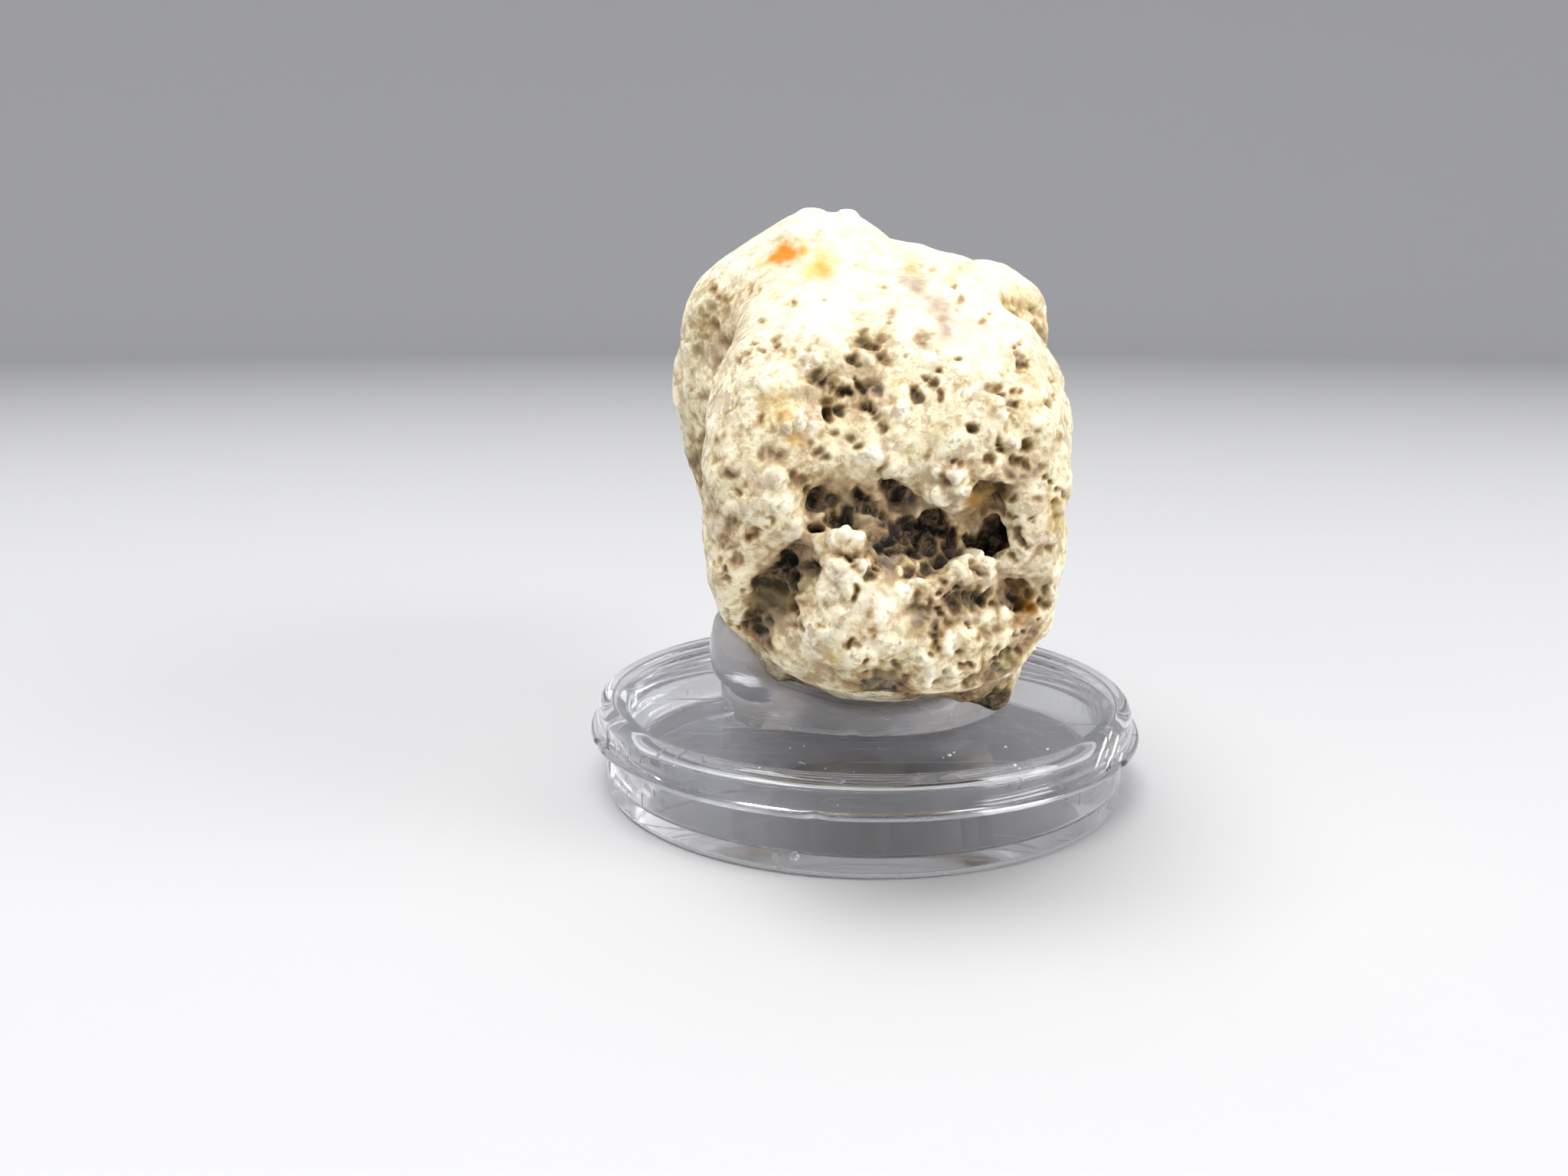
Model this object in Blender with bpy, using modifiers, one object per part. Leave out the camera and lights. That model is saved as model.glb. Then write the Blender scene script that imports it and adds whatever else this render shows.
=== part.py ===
"""Fossil mosasaur tooth with its root, lying on a closed two-part clear plastic capsule.

Lengths below are in millimetres and are turned into metres as the meshes are made. +Z is up. The origin
is the centre of the capsule's underside. The crown points along +Y and the broken end of the root faces -Y.
"""

import math

import bmesh
import bpy
from mathutils import Vector, noise

MM = 0.001
GAP = 0.3  # between pieces that touch

# The capsule: two round trays of clear plastic, the lid's skirt over the base's rim
LIP_RADIUS = 19.0
CAPSULE_HEIGHT = 6.5
PLASTIC = 0.9
LID_TOP_RADIUS = 18.1
LID_SKIRT_RADIUS = 18.55
LIP_TOP = 4.4
LIP_BOTTOM = 4.0
LIP_ROUND = 0.12
BASE_RADIUS = 18.0
BASE_ROUND = 0.45
BASE_STEP = LIP_BOTTOM - GAP
SPIGOT_TOP = CAPSULE_HEIGHT - PLASTIC - 0.4
LID_INNER_RADIUS = 17.55
SPIGOT_RADIUS = LID_INNER_RADIUS - GAP
BASE_INNER_RADIUS = 16.45
ROUND_STEPS = 48

# The tooth, from the root's end at -Y to the crown's tip at +Y
NECK_Y = 10.5
NECK_BLEND = 2.2
ACROSS, ALONG = 24, 24  # squares across and along the block that the tooth is shaped from

# Share of the way along the surface, then y, left x, right x, bottom z, top z, squareness.
# The shares below 0.25 are the end face.
STATIONS = (
    (0.00, -25.3, -0.2, -0.2, 21.6, 21.6, 2.2),
    (0.07, -25.3, -3.0, 2.9, 18.6, 24.6, 2.5),
    (0.14, -25.0, -6.3, 6.0, 15.6, 27.6, 2.9),
    (0.20, -24.1, -8.6, 8.2, 13.4, 30.0, 3.2),
    (0.25, -22.0, -9.5, 9.2, 12.5, 32.0, 3.4),
    (0.30, -18.6, -9.7, 9.6, 11.6, 33.6, 3.3),
    (0.36, -14.2, -9.9, 9.8, 10.0, 35.2, 3.1),
    (0.42, -9.2, -11.7, 10.4, 8.5, 37.0, 3.0),
    (0.48, -4.0, -12.1, 10.9, 7.7, 36.8, 2.8),
    (0.54, 1.4, -11.7, 10.8, 7.9, 36.4, 2.5),
    (0.59, 6.2, -10.2, 9.7, 9.4, 34.8, 2.3),
    (0.64, NECK_Y, -8.9, 8.5, 10.9, 33.2, 2.15),
    (0.70, 15.4, -8.3, 8.3, 11.3, 31.9, 2.05),
    (0.78, 21.4, -7.0, 7.8, 11.7, 29.6, 2.0),
    (0.86, 27.4, -4.4, 6.6, 12.9, 26.1, 2.0),
    (0.93, 32.2, -1.3, 5.1, 14.3, 22.1, 2.0),
    (0.97, 34.6, 0.7, 4.1, 15.3, 19.5, 2.0),
    (1.00, 35.8, 2.5, 2.5, 17.0, 17.0, 2.0),
)

# Hollows in the root's end face: x, z, radius, depth. The first five make the ragged belt across it.
END_PITS = (
    (-3.4, 22.9, 2.4, 0.9),
    (0.2, 22.2, 2.6, 1.1),
    (3.6, 22.2, 2.4, 1.1),
    (-5.2, 19.6, 2.0, 1.0),
    (-6.6, 16.6, 1.8, 1.2),
    (4.8, 21.5, 1.3, 2.4),
    (2.1, 21.3, 1.4, 1.6),
    (-0.1, 23.3, 1.1, 1.2),
    (-3.8, 23.1, 1.1, 1.1),
    (-2.3, 22.3, 1.0, 0.8),
    (-5.0, 20.0, 1.3, 1.1),
    (-5.9, 18.2, 1.2, 0.9),
    (4.9, 18.6, 1.4, 1.3),
    (6.6, 18.5, 1.2, 1.6),
    (-1.4, 28.6, 3.4, 0.9),
    (-3.2, 27.6, 1.1, 0.8),
    (-1.4, 30.4, 1.3, 0.6),
    (6.7, 29.4, 1.3, 0.5),
    (6.6, 15.6, 2.0, 0.9),
)
# Swellings on the end face: x, z, radius, height
END_KNOBS = (
    (-2.4, 20.9, 1.3, 1.2),
    (3.4, 19.9, 1.4, 1.4),
    (2.7, 23.9, 1.4, 1.0),
    (-5.9, 23.8, 1.7, 0.8),
    (-4.1, 26.6, 1.5, 0.7),
    (-1.0, 17.4, 4.0, 1.0),
    (6.4, 21.7, 1.3, 0.7),
)
# Swellings (height above 0) and hollows (below 0) on the root's sides: x, y, z, radius, height
SIDE_FORMS = (
    (-2.9, -9.0, 37.4, 3.2, 1.1),
    (-9.3, -9.0, 34.8, 3.0, 0.9),
    (-0.6, -8.6, 38.0, 1.6, 0.7),
    (3.2, -9.0, 37.0, 3.8, -1.8),
    (10.0, -9.0, 34.0, 3.0, 1.5),
    (8.4, -15.6, 34.2, 2.8, -0.9),
    (-10.0, -14.6, 26.0, 4.0, -0.8),
    (-11.8, -8.0, 15.5, 6.0, -2.4),
    (-11.8, 1.0, 15.5, 6.0, -1.6),
    (-11.8, -6.0, 29.0, 5.0, 0.4),
    (7.6, -13.6, 10.2, 2.6, 2.6),
    (9.8, -20.0, 13.0, 3.4, -1.2),
    (11.4, -3.0, 24.0, 5.0, -1.0),
    (-7.6, -20.5, 12.8, 4.0, -1.4),
    (-7.6, -13.5, 11.2, 4.0, -1.2),
    (11.0, 3.0, 15.0, 4.0, 0.6),
    (-11.0, 3.5, 19.0, 4.5, -0.8),
    (-6.0, 4.0, 35.0, 4.0, 0.6),
    (4.0, 3.0, 36.5, 3.5, -0.6),
)
PIT_LIMIT = 3.6
LUMP_SIZE, LUMP_HEIGHT = 6.0, 0.5
GRIT_SIZE, GRIT_HEIGHT = 2.6, 0.22
CARINA_HEIGHT, CARINA_WIDTH = 0.55, 0.16
FACETS, FACET_HEIGHT = 7, 0.10

# The putty under the tooth: a low round cake, and a tongue that climbs the tooth's left side
CAKE_MIDDLE = (-0.1, -1.8)
CAKE_RADII = (10.2, 9.7)  # at its foot and at its top
CAKE_TOP = 10.8
CAKE_EDGE = 0.8
CAKE_SIDES = 40
TONGUE_MIDDLE = (-7.4, -7.6, 11.2)
TONGUE_SIZE = (2.9, 4.4, 4.4)
PUTTY_UNDERSIDE = CAPSULE_HEIGHT + GAP


def start():
    for found in list(bpy.data.objects):
        bpy.data.objects.remove(found, do_unlink=True)
    made = []
    for name in ("mosasaur_tooth_on_capsule", "cutters"):
        collection = bpy.data.collections.new(name)
        bpy.context.scene.collection.children.link(collection)
        made.append(collection)
    return made


def add(name, mesh, collection, material=None):
    placed = bpy.data.objects.new(name, mesh)
    collection.objects.link(placed)
    if material:
        mesh.materials.append(material)
    return placed


def finish(name, colour, roughness, alpha=1.0, transmission=0.0):
    material = bpy.data.materials.new(name)
    material.use_nodes = True
    shader = material.node_tree.nodes["Principled BSDF"]
    shader.inputs["Base Color"].default_value = (*colour, 1.0)
    shader.inputs["Roughness"].default_value = roughness
    shader.inputs["Metallic"].default_value = 0.0
    shader.inputs["Alpha"].default_value = alpha
    shader.inputs["Transmission Weight"].default_value = transmission
    return material


def arc(middle, radius, start_deg, end_deg, steps=2):
    """Points of a round corner in the (radius, z) plane."""
    points = []
    for step in range(steps + 1):
        turn = math.radians(start_deg + (end_deg - start_deg) * step / steps)
        points.append((middle[0] + radius * math.cos(turn), middle[1] + radius * math.sin(turn)))
    return points


def turned(name, profile, collection, material):
    """A closed ring profile, from the axis down the outer side and back to the axis, spun about Z."""
    bm = bmesh.new()
    verts = [bm.verts.new((radius * MM, 0.0, z * MM)) for radius, z in profile]
    for first, second in zip(verts, verts[1:]):
        bm.edges.new((first, second))
    mesh = bpy.data.meshes.new(name)
    bm.to_mesh(mesh)
    bm.free()
    placed = add(name, mesh, collection, material)
    spin = placed.modifiers.new("turn", "SCREW")
    spin.steps = spin.render_steps = ROUND_STEPS
    spin.use_merge_vertices = True
    spin.merge_threshold = 0.00001
    return placed


def capsule_lid(collection, material):
    shoulder = LID_SKIRT_RADIUS - LID_TOP_RADIUS
    profile = [(0.0, CAPSULE_HEIGHT)]
    profile += arc((LID_TOP_RADIUS, CAPSULE_HEIGHT - shoulder), shoulder, 90, 0)
    profile += [(LID_SKIRT_RADIUS, LIP_TOP)]
    profile += arc((LIP_RADIUS - LIP_ROUND, LIP_TOP - LIP_ROUND), LIP_ROUND, 90, 0, 1)
    profile += arc((LIP_RADIUS - LIP_ROUND, LIP_BOTTOM + LIP_ROUND), LIP_ROUND, 0, -90, 1)
    profile += [(LID_INNER_RADIUS, LIP_BOTTOM)]
    profile += [(LID_INNER_RADIUS, CAPSULE_HEIGHT - PLASTIC), (0.0, CAPSULE_HEIGHT - PLASTIC)]
    return turned("capsule_lid", profile, collection, material)


def capsule_base(collection, material):
    profile = [(0.0, PLASTIC), (BASE_INNER_RADIUS, PLASTIC), (BASE_INNER_RADIUS, SPIGOT_TOP)]
    profile += [(SPIGOT_RADIUS, SPIGOT_TOP), (SPIGOT_RADIUS, BASE_STEP), (BASE_RADIUS, BASE_STEP)]
    profile += arc((BASE_RADIUS - BASE_ROUND, BASE_ROUND), BASE_ROUND, 0, -90)
    profile += [(0.0, 0.0)]
    return turned("capsule_base", profile, collection, material)


def between(before, first, second, after, share):
    """A smooth curve through four numbers, between the middle two."""
    return 0.5 * (
        2 * first
        + (second - before) * share
        + (2 * before - 5 * first + 4 * second - after) * share**2
        + (3 * first - before - 3 * second + after) * share**3
    )


def station(along):
    """The tooth's section at a share of the way from the root's end to the crown's tip."""
    last = len(STATIONS) - 1
    index = 0
    while index < last - 1 and STATIONS[index + 1][0] <= along:
        index += 1
    rows = [STATIONS[min(max(index + step, 0), last)] for step in (-1, 0, 1, 2)]
    share = (along - rows[1][0]) / (rows[2][0] - rows[1][0])
    return [between(*(row[column] for row in rows), share) for column in range(1, 7)]


def crown_share(y):
    """0 on the root, 1 on the enamel crown."""
    share = min(max((y - NECK_Y + NECK_BLEND) / (2 * NECK_BLEND), 0.0), 1.0)
    return share * share * (3 - 2 * share)


def tooth_point(corner):
    """Where a point of the starting block goes on the smooth tooth, in millimetres."""
    even = Vector([math.tan(part * math.pi / 4) for part in corner]).normalized()
    along = math.acos(max(-1.0, min(1.0, -even.y))) / math.pi
    y, left, right, bottom, top, square = station(along)
    half_width, half_height = max(right - left, 0.001) / 2, max(top - bottom, 0.001) / 2
    turn = math.atan2(even.z, even.x)
    across, upward = math.cos(turn), math.sin(turn)
    ridge = math.exp(-(((1.0 - abs(upward)) / CARINA_WIDTH**2) ** 2))
    flute = math.cos(FACETS * turn)
    swell = 1.0 + crown_share(y) * (CARINA_HEIGHT * ridge + FACET_HEIGHT * flute) / half_height
    reach = (abs(across) ** square + abs(upward) ** square) ** (-1.0 / square) * swell
    return Vector(
        (
            (left + right) / 2 + half_width * reach * across,
            y,
            (bottom + top) / 2 + half_height * reach * upward,
        )
    )


def bell(distance, radius):
    return math.exp(-((distance / radius) ** 2))


def root_relief(point, normal):
    """How the root's surface is moved from the smooth form at a point, in millimetres."""
    height = noise.noise(point / LUMP_SIZE) * LUMP_HEIGHT + noise.noise(point / GRIT_SIZE) * GRIT_HEIGHT
    for x, y, z, radius, swelling in SIDE_FORMS:
        height += swelling * bell((point - Vector((x, y, z))).length, radius)
    moved = normal * height * (1.0 - crown_share(point.y))
    facing = min(max((-normal.y - 0.2) / 0.5, 0.0), 1.0)
    depth = sum(deep * bell(math.hypot(point.x - x, point.z - z), radius) for x, z, radius, deep in END_PITS)
    depth = PIT_LIMIT * math.tanh(depth / PIT_LIMIT)
    for x, z, radius, high in END_KNOBS:
        depth -= high * bell(math.hypot(point.x - x, point.z - z), radius)
    return moved + Vector((0.0, depth * facing, 0.0))


def tooth_block():
    """A cube cut into squares, more of them along Y than across."""
    bm = bmesh.new()
    bmesh.ops.create_cube(bm, size=2.0)
    lengthwise = [edge for edge in bm.edges if abs(edge.verts[0].co.y - edge.verts[1].co.y) > 1.0]
    bmesh.ops.subdivide_edges(bm, edges=lengthwise, cuts=ALONG - 1, use_grid_fill=True)
    crosswise = [edge for edge in bm.edges if abs(edge.verts[0].co.y - edge.verts[1].co.y) < 0.001]
    bmesh.ops.subdivide_edges(bm, edges=crosswise, cuts=ACROSS - 1, use_grid_fill=True)
    return bm


def tooth_mesh(name):
    bm = tooth_block()
    for vert in bm.verts:
        vert.co = tooth_point(vert.co)
    bmesh.ops.recalc_face_normals(bm, faces=bm.faces[:])
    bm.normal_update()
    moves = [root_relief(vert.co.copy(), vert.normal.copy()) for vert in bm.verts]
    for vert, move in zip(bm.verts, moves):
        vert.co = (vert.co + move) * MM
    bmesh.ops.triangulate(bm, faces=bm.faces[:])
    mesh = bpy.data.meshes.new(name)
    bm.to_mesh(mesh)
    bm.free()
    mesh.shade_smooth()
    return mesh


def hide(helper):
    helper.hide_render = True
    helper.display_type = "WIRE"
    return helper


def tooth_room(tooth, collection):
    """The tooth grown by the gap all round, which the putty is cut with."""
    bm = bmesh.new()
    bm.from_mesh(tooth.data)
    bm.normal_update()
    grown = [vert.co + vert.normal * GAP * MM for vert in bm.verts]
    for vert, place in zip(bm.verts, grown):
        vert.co = place
    mesh = bpy.data.meshes.new("tooth_room")
    bm.to_mesh(mesh)
    bm.free()
    return hide(add("tooth_room", mesh, collection))


def putty_tongue(collection):
    bm = bmesh.new()
    bmesh.ops.create_uvsphere(bm, u_segments=24, v_segments=16, radius=1.0)
    for vert in bm.verts:
        scaled = [part * half for part, half in zip(vert.co, TONGUE_SIZE)]
        vert.co = (Vector(scaled) + Vector(TONGUE_MIDDLE)) * MM
    mesh = bpy.data.meshes.new("putty_tongue")
    bm.to_mesh(mesh)
    bm.free()
    return hide(add("putty_tongue", mesh, collection))


def below_putty(collection):
    """A block under the putty's flat underside, which trims the tongue."""
    block = 60.0
    bm = bmesh.new()
    bmesh.ops.create_cube(bm, size=block * MM)
    bmesh.ops.translate(bm, verts=bm.verts[:], vec=(0.0, 0.0, (PUTTY_UNDERSIDE - block / 2) * MM))
    mesh = bpy.data.meshes.new("below_putty")
    bm.to_mesh(mesh)
    bm.free()
    return hide(add("below_putty", mesh, collection))


def boolean(target, operation, cutter):
    modifier = target.modifiers.new(f"{operation}_{cutter.name}".lower(), "BOOLEAN")
    modifier.operation = operation
    modifier.solver = "EXACT"
    modifier.object = cutter


def mounting_putty(tooth, collection, cutters, material):
    foot, top = CAKE_RADII
    depth = CAKE_TOP - PUTTY_UNDERSIDE
    bm = bmesh.new()
    bmesh.ops.create_cone(
        bm, cap_ends=True, segments=CAKE_SIDES, radius1=foot * MM, radius2=top * MM, depth=depth * MM
    )
    middle = Vector((*CAKE_MIDDLE, PUTTY_UNDERSIDE + depth / 2)) * MM
    bmesh.ops.translate(bm, verts=bm.verts[:], vec=middle)
    upper = [edge for edge in bm.edges if all(vert.co.z > middle.z for vert in edge.verts)]
    bmesh.ops.bevel(bm, geom=upper, offset=CAKE_EDGE * MM, segments=2, affect="EDGES")
    mesh = bpy.data.meshes.new("mounting_putty")
    bm.to_mesh(mesh)
    bm.free()
    putty = add("mounting_putty", mesh, collection, material)
    boolean(putty, "UNION", putty_tongue(cutters))
    boolean(putty, "DIFFERENCE", below_putty(cutters))
    boolean(putty, "DIFFERENCE", tooth_room(tooth, cutters))
    return putty


def main():
    parts, cutters = start()
    fossil = finish("fossil_bone_and_enamel", (0.78, 0.72, 0.60), 0.85)
    clear = finish("clear_plastic", (0.93, 0.94, 0.97), 0.05, alpha=0.3, transmission=1.0)
    gel = finish("putty", (0.86, 0.85, 0.84), 0.4, alpha=0.7, transmission=0.5)
    tooth = add("mosasaur_tooth", tooth_mesh("mosasaur_tooth"), parts, fossil)
    capsule_lid(parts, clear)
    capsule_base(parts, clear)
    mounting_putty(tooth, parts, cutters, gel)


main()
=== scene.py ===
"""Looks of the fossil mosasaur tooth on its clear capsule: fine surfaces, materials, studio and camera.

Lengths are in millimetres and are turned into metres by MM. Pixels are those of the photograph's frame.
"""

import math

import bpy
import numpy as np
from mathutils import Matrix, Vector, noise
from mathutils.bvhtree import BVHTree


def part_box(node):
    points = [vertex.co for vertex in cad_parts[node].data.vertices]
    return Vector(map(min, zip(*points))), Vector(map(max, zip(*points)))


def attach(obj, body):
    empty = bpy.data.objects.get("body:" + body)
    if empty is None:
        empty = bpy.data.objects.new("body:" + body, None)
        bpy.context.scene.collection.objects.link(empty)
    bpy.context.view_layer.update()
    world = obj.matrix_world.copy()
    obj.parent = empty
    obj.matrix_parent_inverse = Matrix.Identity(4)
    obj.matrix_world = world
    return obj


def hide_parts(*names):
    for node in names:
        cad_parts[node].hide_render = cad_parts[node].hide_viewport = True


MM = 0.001
# Points nearer to one another than this are merged
MERGE_WITHIN = 0.002

# The camera, fitted to the ellipses of the capsule's lid and base
FRAME_PX = (2048, 1536)
FOCAL_PX = 1700
SENSOR_MM = 36.0
CAMERA_PLACE = Vector((-5.5, -88.2, 32.9))
CAMERA_DOWN = math.radians(12.4)
# How far from the camera a place is looked for at a pixel just off the surface's edge
PAST_EDGE = 80.0

# The capsule
CAPSULE_HEIGHT = 6.5
PLASTIC = 0.9
LIP_RADIUS = 19.0
LIP_TOP, LIP_BOTTOM = 4.45, 4.0
SKIRT_TOP_RADIUS, SKIRT_FOOT_RADIUS = 18.45, 18.66
SHOULDER = 0.85
LID_INNER_RADIUS = 17.55
BASE_RADIUS = 18.0
BASE_ROUND = 0.55
BASE_STEP = 3.7
SPIGOT_RADIUS = 17.25
SPIGOT_TOP = 5.2
BASE_INNER_RADIUS = 16.45
LID_INNER_ROUND, BASE_INNER_ROUND, RIM_ROUND, STEP_ROUND = 0.3, 0.4, 0.15, 0.12
TURN_STEPS = 360
SMOOTH_BELOW_DEG = 35

# The tooth's mesh: its faces' size, and where those that the camera sees are cut finer, once and twice
COARSE_STEP = 0.43
FINE_BACK_Y, FINEST_BACK_Y = -6.0, -16.0
# The neck, where the bone ends and the enamel stands a little lower
NECK_Y = 10.2
NECK_STEP = 0.22
# The enamel's wrinkles are drawn out lengthwise, and its two edges stand out in a narrow ridge
WRINKLE_STRETCH = (1.0, 0.09, 1.0)
EDGE_HEIGHT, EDGE_WIDTH = 0.30, 0.012

# Gives the ragged outlines of the pits and stains the same shape on each run
NOISE_SEED = 5
# Layers of noise: height or reach, size, and a shift that sets one layer apart from the others
RAGGED_OUTLINES = ((0.26, 1.1, 0.0), (0.16, 0.5, 3.0), (0.05, 0.24, 5.0))
NECK_LINE = ((0.9, 3.0, 8.0), (0.4, 1.0, 9.0))
BROAD_LUMPS = ((0.20, 2.6, 0.0), (0.12, 1.3, 7.0))
FINE_GRIT = ((0.05, 0.5, 2.0), (0.02, 0.22, 6.0))

# What the photograph shows on the fossil, by the pixels and radii in pixels at which the camera sees it.
# Hollows: pixel, radius, darkness from 0 to 1, partly the bone's brown and partly painted shade, and depth
# in millimetres
PIT_BAND = (
    (1068, 655, 12, 0.95, 1.1), (1086, 655, 8, 0.75, 0.7), (1047, 632, 9, 0.65, 0.5),
    (1053, 645, 8, 0.6, 0.5), (1066, 688, 8, 1.0, 1.4), (1092, 678, 10, 0.95, 1.0),
    (1105, 675, 11, 1.0, 1.3), (1114, 683, 7, 0.85, 0.9), (1118, 653, 9, 0.95, 1.1),
    (1129, 660, 8, 0.8, 0.8), (1141, 664, 7, 0.7, 0.6), (1151, 668, 7, 0.6, 0.5), (1155, 632, 7, 0.7, 0.7),
    (1163, 641, 10, 0.95, 1.2), (1173, 650, 10, 0.95, 1.2), (1185, 657, 8, 0.85, 0.9),
    (1182, 678, 7, 0.6, 0.6), (1191, 687, 9, 0.9, 1.0), (1206, 687, 12, 1.0, 1.6),
    (1219, 687, 12, 1.0, 1.7), (1231, 693, 9, 0.9, 1.2), (1244, 702, 9, 0.85, 1.1),
    (1238, 713, 9, 0.95, 1.4), (1224, 724, 8, 1.0, 1.6), (1212, 737, 8, 0.8, 0.9),
    (1204, 702, 10, 0.70, 0.9), (1214, 710, 9, 0.74, 0.9), (1195, 716, 9, 0.74, 0.8),
    (1187, 701, 8, 0.68, 0.7), (1251, 714, 7, 0.75, 0.9), (1266, 704, 7, 0.95, 1.8),
    (1277, 704, 9, 1.0, 2.6), (1288, 702, 10, 1.0, 3.0), (1298, 694, 9, 1.0, 3.0), (1301, 686, 6, 1.0, 2.4),
    (1301, 706, 9, 1.0, 2.8), (1294, 716, 8, 1.0, 2.4), (1160, 700, 8, 0.55, 0.6), (1155, 713, 9, 0.7, 0.8),
    (1166, 718, 8, 0.65, 0.8), (1160, 731, 7, 0.6, 0.6), (1096, 722, 8, 0.55, 0.5),
    (1108, 727, 9, 0.82, 0.9), (1119, 722, 7, 0.55, 0.5), (1113, 742, 7, 0.5, 0.5),
    (1026, 727, 8, 0.75, 0.9), (1030, 738, 10, 0.97, 1.3), (1021, 743, 8, 0.9, 1.0),
    (1032, 755, 9, 0.95, 1.3), (1028, 765, 7, 0.8, 1.0), (1040, 719, 8, 0.6, 0.5),
    (1043, 708, 7, 0.45, 0.3), (1057, 744, 8, 1.0, 1.4), (1068, 742, 6, 0.8, 0.9), (1014, 772, 7, 1.0, 1.3),
    (1004, 768, 8, 0.85, 0.9), (1012, 757, 8, 0.7, 0.7), (993, 766, 7, 0.65, 0.5),
    (1030, 790, 7, 0.97, 1.3), (1028, 779, 6, 0.65, 0.6), (1040, 798, 6, 0.5, 0.4),
    (1000, 785, 9, 0.55, 0.7), (990, 800, 9, 0.5, 0.7), (1002, 812, 9, 0.6, 0.7), (985, 815, 8, 0.65, 0.8),
    (975, 820, 7, 0.5, 0.5), (990, 828, 9, 0.75, 0.8), (978, 845, 7, 0.7, 0.7), (1000, 845, 8, 0.6, 0.6),
    (985, 851, 8, 0.85, 0.7), (1137, 753, 6, 0.65, 0.6), (1144, 744, 5, 0.6, 0.5), (1150, 734, 5, 0.4, 0.3),
    (1188, 745, 7, 0.65, 0.5), (1200, 750, 5, 0.4, 0.3), (1117, 769, 6, 0.6, 0.6),
    (1114, 778, 5, 0.65, 0.6), (1248, 788, 9, 0.95, 1.3), (1257, 782, 8, 0.8, 0.9),
    (1269, 784, 9, 0.75, 0.9), (1283, 780, 9, 0.75, 0.9), (1292, 772, 8, 0.65, 0.6),
    (1250, 771, 8, 0.6, 0.6), (1266, 771, 9, 0.55, 0.6), (1239, 778, 6, 0.6, 0.5),
    (1232, 758, 5, 0.55, 0.4), (1230, 770, 5, 0.5, 0.4), (1296, 790, 5, 0.6, 0.4), (1237, 632, 7, 0.6, 0.6),
    (1233, 624, 5, 0.45, 0.4), (1275, 742, 7, 0.55, 0.6), (1282, 748, 5, 0.65, 0.7),
    (1270, 734, 5, 0.5, 0.5), (1277, 641, 9, 0.72, 0.8), (1292, 640, 9, 0.8, 0.9),
    (1306, 645, 9, 0.75, 0.8), (1299, 656, 8, 0.65, 0.7), (1313, 638, 6, 0.7, 0.6),
    (1308, 668, 7, 0.6, 0.4), (1328, 768, 8, 0.85, 1.2), (1336, 764, 7, 0.8, 1.0), (1325, 780, 8, 0.8, 1.0),
    (1332, 790, 8, 0.95, 1.2), (1322, 765, 6, 0.6, 0.5), (1345, 795, 7, 0.7, 0.8), (1342, 776, 7, 0.6, 0.8),
    (1318, 788, 6, 0.6, 0.5),
)
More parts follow.
